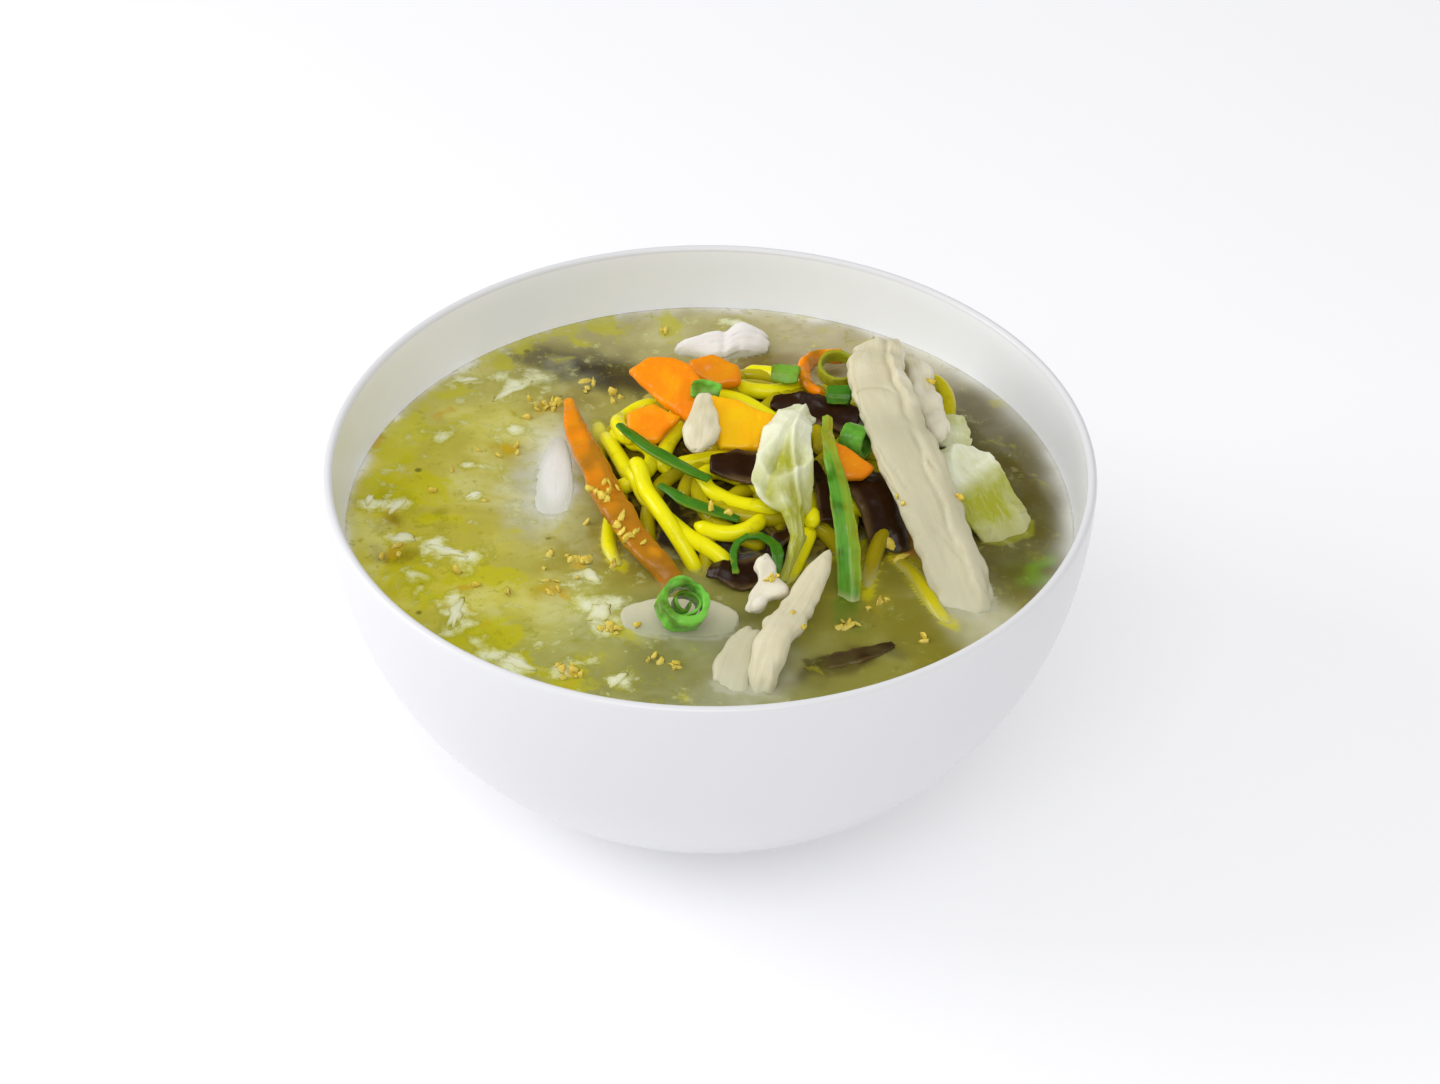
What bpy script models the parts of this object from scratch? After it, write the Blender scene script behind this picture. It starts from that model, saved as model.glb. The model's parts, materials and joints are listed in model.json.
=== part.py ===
"""Chicken noodle soup in its round white bowl, at real size.

The bowl's frame has its origin at the centre of the foot's underside, +Z up and +X to the
right of a diner who sits at -Y. Sizes and places are in millimetres and become metres where
a mesh is made. The food is laid from the bottom up: the noodle heap first, then mushroom,
carrot, cabbage, scallion and chicken, each over what already lies there. The broth comes
last and is cut round everything that dips into it.
"""
import math
import random

import bmesh
import bpy
import numpy as np
from mathutils import Matrix, Vector
from mathutils.bvhtree import BVHTree

MM = 0.001
CLEARANCE = 0.35
SEED = 7
WELD = 0.01
FINE_WELD = 0.001

# Bowl
RIM_RADIUS = 80.0
RIM_HEIGHT = 75.2
BODY_DEPTH = 80.9
BODY_POWER = 2.15
WALL = 2.1
FLOOR_HEIGHT = 8.0
FOOT_RADIUS = 35.5
FOOT_WIDTH = 4.5
FOOT_HEIGHT = 4.4
HOLLOW_HEIGHT = 3.2
BOWL_STEPS = 50

# Broth
SOUP_LEVEL = 60.0
GARLIC_RADIUS = 1.0

# Noodle heap
CORE_CENTRE = (8.5, 13.5)
CORE_RADII = (34.5, 35.5)
CORE_BASE = 53.5
CORE_HEIGHT = 14.5
CORE_POWER = 3.0
CORE_BELOW = 7.0
NOODLE_RADIUS = 1.75
NOODLE_SINK = 0.9
NOODLE_STEP = 3.9
NOODLE_END_HEIGHT = 58.0

# How a piece is laid over the pile
SETTLE_GRID = 0.6
KEEP_APART_STEP = 0.12
KEEP_APART_TRIES = 12

# Thicknesses of what lies on the heap
CHICKEN_THICKNESS = 4.6
CARROT_THICKNESS = 2.0
CABBAGE_THICKNESS = 0.9
MUSHROOM_THICKNESS = 1.1
SCALLION_THICKNESS = 0.8
SCALLION_BIT_THICKNESS = 1.4

COLOURS = {
    "porcelain": ((0.86, 0.86, 0.87), 0.22),
    "broth": ((0.46, 0.44, 0.20), 0.18),
    "noodle": ((0.80, 0.68, 0.02), 0.35),
    "chicken": ((0.80, 0.74, 0.60), 0.50),
    "carrot": ((0.95, 0.34, 0.02), 0.35),
    "cabbage": ((0.68, 0.74, 0.42), 0.35),
    "mushroom": ((0.06, 0.03, 0.02), 0.30),
    "scallion": ((0.10, 0.38, 0.06), 0.35),
}


def collection(name):
    """Make a collection in the scene."""
    made = bpy.data.collections.new(name)
    bpy.context.scene.collection.children.link(made)
    return made


def material(name):
    """Make the Principled material of one kind of food or of the bowl."""
    colour, roughness = COLOURS[name]
    made = bpy.data.materials.new(name)
    made.use_nodes = True
    shader = made.node_tree.nodes["Principled BSDF"]
    shader.inputs["Base Color"].default_value = (*colour, 1.0)
    shader.inputs["Roughness"].default_value = roughness
    shader.inputs["Metallic"].default_value = 0.0
    made.diffuse_color = (*colour, 1.0)
    return made


def put(name, mesh, home, look=None):
    """Place a mesh in a collection as a named object."""
    made = bpy.data.objects.new(name, mesh)
    home.objects.link(made)
    if look:
        mesh.materials.append(look)
    return made


def bake(piece, weld=WELD):
    """Turn a piece with its modifiers into a plain mesh, welded within a distance."""
    bpy.context.view_layer.update()
    depsgraph = bpy.context.evaluated_depsgraph_get()
    solid = bpy.data.meshes.new_from_object(piece.evaluated_get(depsgraph))
    bm = bmesh.new()
    bm.from_mesh(solid)
    bmesh.ops.remove_doubles(bm, verts=bm.verts, dist=weld * MM)
    bm.to_mesh(solid)
    bm.free()
    piece.modifiers.clear()
    piece.data = solid
    return piece


def soften(piece, angle=40.0):
    """Shade a round piece smooth, with its sharp edges kept."""
    piece.data.shade_smooth()
    piece.data.set_sharp_from_angle(angle=math.radians(angle))


def tree_of(piece):
    """Give the search tree of a baked piece that stands unturned at the origin."""
    mesh = piece.data
    points = [vertex.co for vertex in mesh.vertices]
    faces = [tuple(face.vertices) for face in mesh.polygons]
    return BVHTree.FromPolygons(points, faces)


def pile_height(pile, x, y):
    """Give the height of the pile's top at a place, or None beside the pile."""
    best = None
    for tree in pile:
        hit = tree.ray_cast(Vector((x, y, 1.0)), Vector((0.0, 0.0, -1.0)))[0]
        if hit is not None and (best is None or hit.z > best):
            best = hit.z
    return best


def smooth_route(stations, count):
    """Read a smooth curve through hand-set stations at evenly spread places."""
    rows = np.array(stations, dtype=float)
    ends = np.vstack([2 * rows[0] - rows[1], rows, 2 * rows[-1] - rows[-2]])
    spans = np.linalg.norm(np.diff(rows[:, :3], axis=0), axis=1)
    along = np.concatenate([[0.0], np.cumsum(spans)])
    read = []
    for place in np.linspace(0.0, along[-1], count):
        k = min(int(np.searchsorted(along, place, side="right")) - 1, len(rows) - 2)
        t = (place - along[k]) / spans[k]
        a, b, c, d = ends[k:k + 4]
        read.append(0.5 * (2 * b + (c - a) * t + (2 * a - 5 * b + 4 * c - d) * t * t
                           + (3 * b - a - 3 * c + d) * t ** 3))
    return np.array(read)


def unit(arrow):
    """Scale an arrow to length 1."""
    return arrow / np.linalg.norm(arrow)


def spread_raise(needs, spacing, slope=0.5):
    """Ease the raise of each station into its neighbours, at a limited slope."""
    count = len(needs)
    return [max(needs[j] - slope * spacing * abs(i - j) for j in range(count)) for i in range(count)]


# Bowl


def body_radius(z, radius, depth, top=RIM_HEIGHT):
    """Give the radius of a bowl-shaped wall at a height."""
    share = min(max((top - z) / depth, 0.0), 1.0)
    return radius * (1.0 - share ** BODY_POWER) ** (1.0 / BODY_POWER)


def inner_radius(z):
    """Give the radius of the bowl's inner wall at a height."""
    return body_radius(z, RIM_RADIUS - WALL, RIM_HEIGHT - FLOOR_HEIGHT)


def inner_profile(gap=0.0, rows=6):
    """List the inner wall's points from the axis at the floor up to the soup level."""
    points = [(0.0, FLOOR_HEIGHT + gap)]
    for k in range(1, rows + 1):
        turn = 0.5 * math.pi * k / rows
        z = FLOOR_HEIGHT + (SOUP_LEVEL - FLOOR_HEIGHT) * (1.0 - math.cos(turn))
        points.append((inner_radius(z) - gap, z + (gap if k < rows else 0.0)))
    return points


def bowl_profile():
    """List the bowl's section: up the inner wall, over the lip, down outside, and the foot."""
    lip_height = RIM_HEIGHT - WALL / 2
    points = inner_profile()
    points.append((inner_radius(lip_height), lip_height))
    for turn in (45.0, 90.0, 135.0):
        across = math.cos(math.radians(turn)) * WALL / 2
        points.append((RIM_RADIUS - WALL / 2 - across, lip_height + math.sin(math.radians(turn)) * WALL / 2))
    for z in (lip_height, 66.0, 54.0, 41.0, 29.0, 19.0, 11.5, 6.5):
        points.append((body_radius(z, RIM_RADIUS, BODY_DEPTH), z))
    points.append((FOOT_RADIUS + 1.2, FOOT_HEIGHT))
    points.append((FOOT_RADIUS, FOOT_HEIGHT - 1.4))
    points.append((FOOT_RADIUS - 0.4, 0.0))
    points.append((FOOT_RADIUS - FOOT_WIDTH, 0.0))
    points.append((FOOT_RADIUS - FOOT_WIDTH - 0.6, HOLLOW_HEIGHT))
    points.append((0.0, HOLLOW_HEIGHT))
    return points


def turned(name, profile, home, look):
    """Turn a section round the Z axis."""
    bm = bmesh.new()
    row = [bm.verts.new((x * MM, 0.0, z * MM)) for x, z in profile]
    for first, second in zip(row, row[1:]):
        bm.edges.new((first, second))
    mesh = bpy.data.meshes.new(name)
    bm.to_mesh(mesh)
    bm.free()
    piece = put(name, mesh, home, look)
    screw = piece.modifiers.new("turn", "SCREW")
    screw.angle = 2 * math.pi
    screw.steps = BOWL_STEPS
    screw.render_steps = BOWL_STEPS
    screw.use_merge_vertices = True
    screw.merge_threshold = 0.00001
    screw.use_smooth_shade = False
    return bake(piece)


# Noodle heap


def heap_core(grow=0.0):
    """Make the rounded core that the noodles lie on."""
    bpy.ops.mesh.primitive_uv_sphere_add(segments=20, ring_count=10, radius=1.0)
    core = bpy.context.object
    for vertex in core.data.vertices:
        x, y, z = vertex.co
        reach = min(math.hypot(x, y), 1.0)
        lift = (1.0 - min(reach, 1.0) ** CORE_POWER) ** (1.0 / CORE_POWER)
        high = (CORE_HEIGHT if z > 0 else -CORE_BELOW) * lift
        high += grow * (1 if z > 0 else -1) * min(1.0, lift * 2)
        vertex.co.x = (CORE_CENTRE[0] + x * (CORE_RADII[0] + grow)) * MM
        vertex.co.y = (CORE_CENTRE[1] + y * (CORE_RADII[1] + grow)) * MM
        vertex.co.z = (CORE_BASE + high) * MM
    core.data.update()
    return core


# The noodles that show, as places (x, y) and the least height that they run at
NOODLES = {
    "front_long": [(-25, 32, 59), (-23, 23, 60), (-19, 10, 60), (-15, 0, 60), (-10, -8, 60),
                   (-4, -14.5, 60), (2, -18.5, 60), (5.5, -21.5, 59.5), (8, -24, 57)],
    "front_short": [(-16, 5, 60), (-13.5, -3, 60), (-10, -10, 60), (-5.5, -16, 60), (-2, -20.5, 58.5)],
    "low_bar": [(-3, -12, 60), (2.5, -14.5, 60), (7.5, -14, 60), (11.5, -10.5, 60)],
    "hook_low": [(15, -9.5, 60), (9, -8.5, 60), (3.5, -6, 60), (-0.5, -2.5, 60), (-1.5, 2, 60),
                 (2.5, 2.5, 60), (8, -1, 60), (13, -3.5, 60)],
    "mid_bar": [(-8, 5, 60), (-3.5, 6, 60), (2, 7, 60), (8, 7.5, 60), (14, 8, 60)],
    "mid_left": [(-6, 20, 60), (-8.5, 14, 60), (-10, 8.5, 60), (-9, 3, 60)],
    "left_loop": [(-11, 29, 60), (-15.5, 29, 60), (-19.5, 25, 60), (-19.5, 18.5, 60), (-16.5, 13, 60)],
    "back_bar": [(7, 46, 60), (12, 44, 60), (17, 40, 60), (22, 36, 60)],
    "right_loop": [(27, 34, 62), (37, 41.5, 64), (47, 42, 65), (51, 37, 65), (51.5, 30.5, 63.5),
                   (48, 24, 61)],
    "sunk_left": [(-20, -2, 60), (-21, -9, 60), (-20, -15, 59.4), (-17, -20.5, 57.5)],
    "right_front": [(43, -2, 60), (38.5, -7, 60), (35, -12.5, 60), (33, -18.5, 60), (32, -25, 57)],
    "right_low": [(33, -4, 61), (38.5, -10, 61), (43, -18, 61.3), (46.5, -27.5, 59.8), (49, -36, 57.5)],
    "behind_slice": [(0, 31, 60), (6, 28, 60), (11, 23.5, 60), (15.5, 18, 60)],
    "behind_chicken": [(21, -12, 60), (19, -17, 60), (16.5, -21, 60), (14, -25, 58)],
    "by_strip": [(20.5, -3, 60), (21, -9, 60), (21, -14.5, 60)],
}
LOOP_COUNT = 7


def loop_routes():
    """Spread loops of noodle over the back and the right flank of the heap."""
    draw = random.Random(SEED)
    routes = []
    for k in range(LOOP_COUNT):
        bearing = math.radians(-25.0 + 215.0 * k / (LOOP_COUNT - 1))
        reach = 0.70 + 0.16 * draw.random()
        x = CORE_CENTRE[0] + CORE_RADII[0] * reach * math.cos(bearing)
        y = CORE_CENTRE[1] + CORE_RADII[1] * reach * math.sin(bearing)
        radius = 5.5 + 3.0 * draw.random()
        first = bearing + math.pi * (0.6 + 0.8 * draw.random())
        sweep = math.radians(200 + 90 * draw.random())
        stretch = 1.0 + 0.5 * draw.random()
        route = []
        for j in range(7):
            turn = first + sweep * j / 6
            along = radius * stretch * math.cos(turn)
            across = radius * math.sin(turn)
            px = x + along * math.sin(bearing) - across * math.cos(bearing)
            py = y - along * math.cos(bearing) - across * math.sin(bearing)
            route.append((px, py, NOODLE_END_HEIGHT))
        routes.append(route)
    return routes


def draped_route(stations, pile):
    """Lay a noodle's route over the pile, pressed a little into what it crosses."""
    rows = np.array(stations, dtype=float)
    length = float(np.sum(np.linalg.norm(np.diff(rows[:, :2], axis=0), axis=1)))
    read = smooth_route(stations, max(5, int(length / NOODLE_STEP) + 1))
    needs = []
    for x, y, z in read:
        top = pile_height(pile, x * MM, y * MM)
        needs.append(0.0 if top is None else max(0.0, top / MM + NOODLE_RADIUS - NOODLE_SINK - z))
    eased = spread_raise(needs, NOODLE_STEP, slope=0.6)
    read[:, 2] += eased
    return read


def noodle(name, route, radius, home):
    """Make one noodle as a tube along its route."""
    data = bpy.data.curves.new(name, "CURVE")
    data.dimensions = "3D"
    data.bevel_depth = radius * MM
    data.bevel_resolution = 1
    data.use_fill_caps = True
    line = data.splines.new("POLY")
    line.points.add(len(route) - 1)
    for point, place in zip(line.points, route):
        point.co = (*(float(value) * MM for value in place), 1.0)
    guide = bpy.data.objects.new(name, data)
    home.objects.link(guide)
    bpy.context.view_layer.update()
    depsgraph = bpy.context.evaluated_depsgraph_get()
    mesh = bpy.data.meshes.new_from_object(guide.evaluated_get(depsgraph))
    bm = bmesh.new()
    bm.from_mesh(mesh)
    bmesh.ops.remove_doubles(bm, verts=bm.verts, dist=WELD * MM)
    bm.to_mesh(mesh)
    bm.free()
    bpy.data.objects.remove(guide)
    tube = bpy.data.objects.new(name, mesh)
    home.objects.link(tube)
    return tube


def fuse(base, pieces, solver="EXACT"):
    """Join a collection's pieces to a base by one Boolean union and remove them."""
    union = base.modifiers.new("fuse", "BOOLEAN")
    union.operation = "UNION"
    union.operand_type = "COLLECTION"
    union.collection = pieces
    union.solver = solver
    bake(base, weld=FINE_WELD)
    for piece in list(pieces.objects):
        bpy.data.objects.remove(piece)
    bpy.data.collections.remove(pieces)
    return base


def noodle_routes():
    """Drape every noodle in turn over the core and the noodles before it."""
    core = heap_core()
    pile = [tree_of(core)]
    bpy.data.objects.remove(core)
    guides = collection("noodle guides")
    routes = []
    for k, stations in enumerate(loop_routes() + list(NOODLES.values())):
        route = draped_route(stations, pile)
        tube = noodle(f"guide_{k}", route, NOODLE_RADIUS, guides)
        pile.append(tree_of(tube))
        routes.append(route)
    for guide in list(guides.objects):
        bpy.data.objects.remove(guide)
    bpy.data.collections.remove(guides)
    return routes


def noodle_heap(routes, home, name, look=None, grow=0.0):
    """Fuse the noodles onto the core as one solid."""
    core = heap_core(grow)
    core.name = name
    for owner in list(core.users_collection):
        owner.objects.unlink(core)
    home.objects.link(core)
    if look:
        core.data.materials.append(look)
    strands = collection("noodle strands")
    for k, route in enumerate(routes):
        longer = np.array(route)
        longer[0, :3] += grow * unit(route[0] - route[1])
        longer[-1, :3] += grow * unit(route[-1] - route[-2])
        noodle(f"strand_{k}", longer, NOODLE_RADIUS + grow, strands)
    fuse(core, strands, "MANIFOLD")
    keep_largest(core)
    return core


# Ribbons: every strip, leaf and slab is a grid that follows a route and gets its thickness


def ribbon(name, stations, thickness, home, look, pile, rolls=None, cells=(8, 2), cup=0.0,
           ripple=(0.0, 0.0), round_off=0, sink=False):
    """Make a strip along stations of (x, y, z, width) and lay it over the pile.

    rolls turns the strip about its run in degrees, cup bows it across, ripple is the height
    and count of its waves, and a sunk strip keeps its height whatever lies below.
    """
    rolls = rolls or [0.0] * len(stations)
    rows = [(*station, roll) for station, roll in zip(stations, rolls)]
    bm = bmesh.new()
    bmesh.ops.create_grid(bm, x_segments=cells[0], y_segments=cells[1], size=1.0)
    columns = sorted({round((vertex.co.x + 1) / 2, 4) for vertex in bm.verts})
    read = smooth_route(rows, len(columns))
    spacing = float(np.linalg.norm(read[1, :3] - read[0, :3]))
    runs = np.gradient(read[:, :3], axis=0)
    places = {}
    for k, row in enumerate(read):
        run = Vector(runs[k]).normalized()
        side = run.cross(Vector((0.0, 0.0, 1.0))).normalized()
        over = side.cross(run).normalized()
        turn = Matrix.Rotation(math.radians(row[4]), 3, run)
        places[columns[k]] = (Vector(row[:3]), turn @ side, turn @ over, max(row[3], 0.8) / 2, k)
    column_of = {}
    for vertex in bm.verts:
        u = round((vertex.co.x + 1) / 2, 4)
        w = vertex.co.y
        centre, side, over, half, k = places[u]
        wave = ripple[0] * math.sin(2 * math.pi * ripple[1] * u + 2.0 * w) * abs(w)
        vertex.co = centre + side * (w * half) + over * (cup * (1 - w * w) + wave)
        column_of[vertex.index] = k
    if not sink:
        needs = [0.0] * len(columns)
        for vertex in bm.verts:
            top = pile_height(pile, vertex.co.x * MM, vertex.co.y * MM)
            if top is not None:
                need = top / MM + CLEARANCE + 0.55 * thickness - vertex.co.z
                k = column_of[vertex.index]
                needs[k] = max(needs[k], need)
        eased = spread_raise(needs, spacing)
        for vertex in bm.verts:
            vertex.co.z += eased[column_of[vertex.index]]
    for vertex in bm.verts:
        vertex.co *= MM
    if not round_off:
        bmesh.ops.triangulate(bm, faces=bm.faces)
    mesh = bpy.data.meshes.new(name)
    bm.to_mesh(mesh)
    bm.free()
    piece = put(name, mesh, home, look)
    wall = piece.modifiers.new("thickness", "SOLIDIFY")
    wall.thickness = thickness * MM
    wall.offset = 0.0
    wall.use_even_offset = False
    if round_off:
        smooth = piece.modifiers.new("round", "SUBSURF")
        smooth.levels = round_off
        smooth.render_levels = round_off
    bake(piece)
    if not sink:
        settle(piece, pile)
    soften(piece)
    pile.append(tree_of(piece))
    return piece


def settle(piece, pile):
    """Raise a piece as a whole until nothing of the pile is within the clearance below it."""
    mesh = piece.data
    own = tree_of(piece)
    xs = [vertex.co.x for vertex in mesh.vertices]
    ys = [vertex.co.y for vertex in mesh.vertices]
    need = 0.0
    places = [(vertex.co.x, vertex.co.y, vertex.co.z) for vertex in mesh.vertices]
    for x in np.arange(min(xs), max(xs), SETTLE_GRID * MM):
        for y in np.arange(min(ys), max(ys), SETTLE_GRID * MM):
            under = own.ray_cast(Vector((x, y, 0.0)), Vector((0.0, 0.0, 1.0)))[0]
            if under is not None:
                places.append((x, y, under.z))
    for x, y, z in places:
        top = pile_height(pile, x, y)
        if top is not None:
            need = max(need, top + CLEARANCE * MM - z)
    mesh.transform(Matrix.Translation((0.0, 0.0, need)))
    keep_apart(piece, pile)


def grown_mesh(piece, grow):
    """Copy a piece's mesh with its surface moved outwards."""
    bm = bmesh.new()
    bm.from_mesh(piece.data)
    bm.normal_update()
    for vertex in bm.verts:
        vertex.co += vertex.normal * grow * MM
    mesh = bpy.data.meshes.new(f"grown_{piece.name}")
    bm.to_mesh(mesh)
    bm.free()
    return mesh


def keep_apart(piece, pile):
    """Raise a piece in small steps while its grown skin still meets something of the pile."""
    for _ in range(KEEP_APART_TRIES):
        skin = grown_mesh(piece, 0.8 * CLEARANCE)
        tree = BVHTree.FromPolygons([v.co for v in skin.vertices], [tuple(f.vertices) for f in skin.polygons])
        bpy.data.meshes.remove(skin)
        if not any(tree.overlap(other) for other in pile):
            return
        piece.data.transform(Matrix.Translation((0.0, 0.0, KEEP_APART_STEP * MM)))


def plate(name, outline, thickness, centre, lean, turn, home, look, pile):
    """Cut a flat slice to an outline, lean it and lay it on the pile."""
    data = bpy.data.curves.new(name, "CURVE")
    data.dimensions = "2D"
    data.fill_mode = "BOTH"
    data.extrude = thickness / 2 * MM
    line = data.splines.new("POLY")
    line.points.add(len(outline) - 1)
    for point, (x, y) in zip(line.points, outline):
        point.co = (x * MM, y * MM, 0.0, 1.0)
    line.use_cyclic_u = True
    guide = bpy.data.objects.new(name, data)
    home.objects.link(guide)
    bpy.context.view_layer.update()
    depsgraph = bpy.context.evaluated_depsgraph_get()
    mesh = bpy.data.meshes.new_from_object(guide.evaluated_get(depsgraph))
    bpy.data.objects.remove(guide)
    bm = bmesh.new()
    bm.from_mesh(mesh)
    bmesh.ops.remove_doubles(bm, verts=bm.verts, dist=WELD * MM)
    bm.to_mesh(mesh)
    bm.free()
    tilt = Matrix.Rotation(math.radians(lean[0]), 4, "X") @ Matrix.Rotation(math.radians(lean[1]), 4, "Y")
    spin = Matrix.Rotation(math.radians(turn), 4, "Z")
    mesh.transform(Matrix.Translation(Vector(centre) * MM) @ tilt @ spin)
    piece = put(name, mesh, home, look)
    edge = piece.modifiers.new("worn edge", "BEVEL")
    edge.width = 0.35 * MM
    edge.segments = 1
    bake(piece)
    settle(piece, pile)
    pile.append(tree_of(piece))
    return piece


def ring(name, centre, axis, radius, wall, length, home, look, pile, squash=1.0, sides=14):
    """Cut a hollow ring of scallion and lay it with its axis in a direction."""
    bm = bmesh.new()
    bmesh.ops.create_cone(bm, cap_ends=False, segments=sides, radius1=radius * MM,
                          radius2=radius * MM, depth=length * MM)
    for vertex in bm.verts:
        vertex.co.x *= squash
    mesh = bpy.data.meshes.new(name)
    bm.to_mesh(mesh)
    bm.free()
    turn = Vector(axis).normalized().to_track_quat("Z", "X").to_matrix().to_4x4()
    mesh.transform(Matrix.Translation(Vector(centre) * MM) @ turn)
    piece = put(name, mesh, home, look)
    skin = piece.modifiers.new("wall", "SOLIDIFY")
    skin.thickness = wall * MM
    skin.offset = -1.0
    bake(piece)
    settle(piece, pile)
    soften(piece)
    pile.append(tree_of(piece))
    return piece


# Toppings, from the bottom of the pile up


def mushrooms(home, look, pile):
    """Lay the dark wood-ear strips."""
    thick = MUSHROOM_THICKNESS
    ribbon("mushroom_front", [(19, -49, 58.6, 3), (25.5, -48, 60, 4), (31.5, -46, 60.4, 3.5),
                              (37, -43, 60.4, 1.5)], thick, home, look, pile, cells=(5, 2), sink=True)
    ribbon("mushroom_right", [(28, 4, 66, 6), (32.5, -2, 66, 9), (36, -8, 64, 9.5), (38.5, -14, 62, 7)],
           thick, home, look, pile, cells=(5, 2), cup=0.8)
    ribbon("mushroom_low", [(0, -22, 60.8, 3), (4, -23.5, 61, 6), (8.5, -23.5, 61.5, 7), (12, -20.5, 62, 5)],
           thick, home, look, pile, rolls=[20] * 4, cells=(5, 2), cup=0.6)
    ribbon("mushroom_centre", [(12, -19, 63, 2), (14.5, -16, 65, 4), (18, -14, 66, 4)],
           thick, home, look, pile, cells=(4, 2))
    ribbon("mushroom_strip", [(21.5, 5, 68, 2), (23, -1, 68, 3.5), (24, -7.5, 67.5, 4),
                              (24.5, -13.5, 66, 3.5)], thick, home, look, pile, cells=(6, 2))
    ribbon("mushroom_mid", [(0, 1, 69, 4), (4.5, 1, 69, 8), (9, 0.5, 69, 9), (13, 0, 69, 8)],
           thick, home, look, pile, rolls=[15] * 4, cells=(5, 2), cup=0.5)
    ribbon("mushroom_back", [(13, 27, 69, 3), (19, 24.5, 69, 6), (26, 22, 69, 7), (31.5, 19.5, 69, 6)],
           thick, home, look, pile, rolls=[25] * 4, cells=(6, 2), ripple=(0.5, 1.5))


def carrots(home, look, pile):
    """Lay the cut carrot: a long stick, slices, a chip, a curl and a wedge."""
    thick = CARROT_THICKNESS
    ribbon("carrot_stick_left", [(-31, 33, 61, 2), (-29, 21.5, 62, 4.5), (-25, 8.5, 62, 5.5),
                                 (-21, -4, 61.5, 6), (-15.5, -15, 61, 5.5), (-10.5, -21.5, 60.5, 5),
                                 (-6, -25, 59.5, 3.5)],
           2.6, home, look, pile, rolls=[10] * 7, cells=(9, 2))
    ribbon("carrot_curl_back", [(29, 46, 68, 3), (23, 44, 69, 3.2), (20, 38, 70, 3.2), (21, 32, 70, 3.4),
                                (24, 29.5, 69.5, 3)], 1.6, home, look, pile, rolls=[-50] * 5, cells=(8, 2))
    plate("carrot_chip_left", [(-5.5, 2.5), (0.5, 4.5), (6.5, 1.5), (3, -2), (1.5, -4.5), (-2.5, -4.5),
                               (-5, -2)], thick, (-12.5, 14.5, 68), (24, -3), 0, home, look, pile)
    plate("carrot_slice_behind", [(-5.5, 2.5), (0, 4), (5.5, 1), (6, -3), (0, -3.5), (-4.5, -1)],
          thick, (0.5, 33.5, 69), (28, 0), 0, home, look, pile)
    plate("carrot_slice_back", [(-9, 4.5), (-4.5, 7.5), (1, 7.5), (5, 5), (8, 0), (6.5, -5), (5, -9),
                                (0, -5), (-4.5, -0.5)], thick, (-9, 24.5, 70), (26, -3), 0, home, look, pile)
    plate("carrot_slice_mid", [(-7, 6.5), (-1, 5.5), (9, 1), (7, -4), (4, -6.5), (-4.5, -6.5), (-6, -2),
                               (-8, 3.5)], thick, (6.5, 12, 71), (24, 4), 0, home, look, pile)
    plate("carrot_wedge", [(-5, 5), (-1, 3.5), (5.5, -1.5), (3, -4), (-2.5, -4), (-4.5, 0)],
          thick, (29, 0, 70), (30, 0), 0, home, look, pile)


def cabbages(home, look, pile):
    """Lay the pale cabbage leaves."""
    thick = CABBAGE_THICKNESS
    ribbon("cabbage_right_small", [(51, 27, 66, 7.5), (51.5, 21, 66, 9), (50.5, 15, 65.5, 9)],
           thick, home, look, pile, cells=(4, 3), cup=1.0)
    ribbon("cabbage_right_large", [(50.5, 12, 67.5, 11), (52.5, 6, 67, 15.5), (56.5, 0, 65, 16),
                                   (61.5, -5, 61.8, 14), (64, -8.5, 59, 9)],
           thick, home, look, pile, cells=(8, 4), cup=1.2, ripple=(0.6, 1.5))
    ribbon("cabbage_centre", [(20, 15.5, 75, 5), (16.5, 8.5, 75.5, 9.5), (15.5, 0.5, 75, 11.5),
                              (15.5, -8, 73.5, 11.5), (16.5, -14, 71, 9), (18, -18, 68, 5.5),
                              (16.5, -21.5, 65, 4.5), (14.5, -25, 62, 3)],
           thick, home, look, pile, cells=(10, 4), cup=1.6, ripple=(0.5, 1.5))


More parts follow.
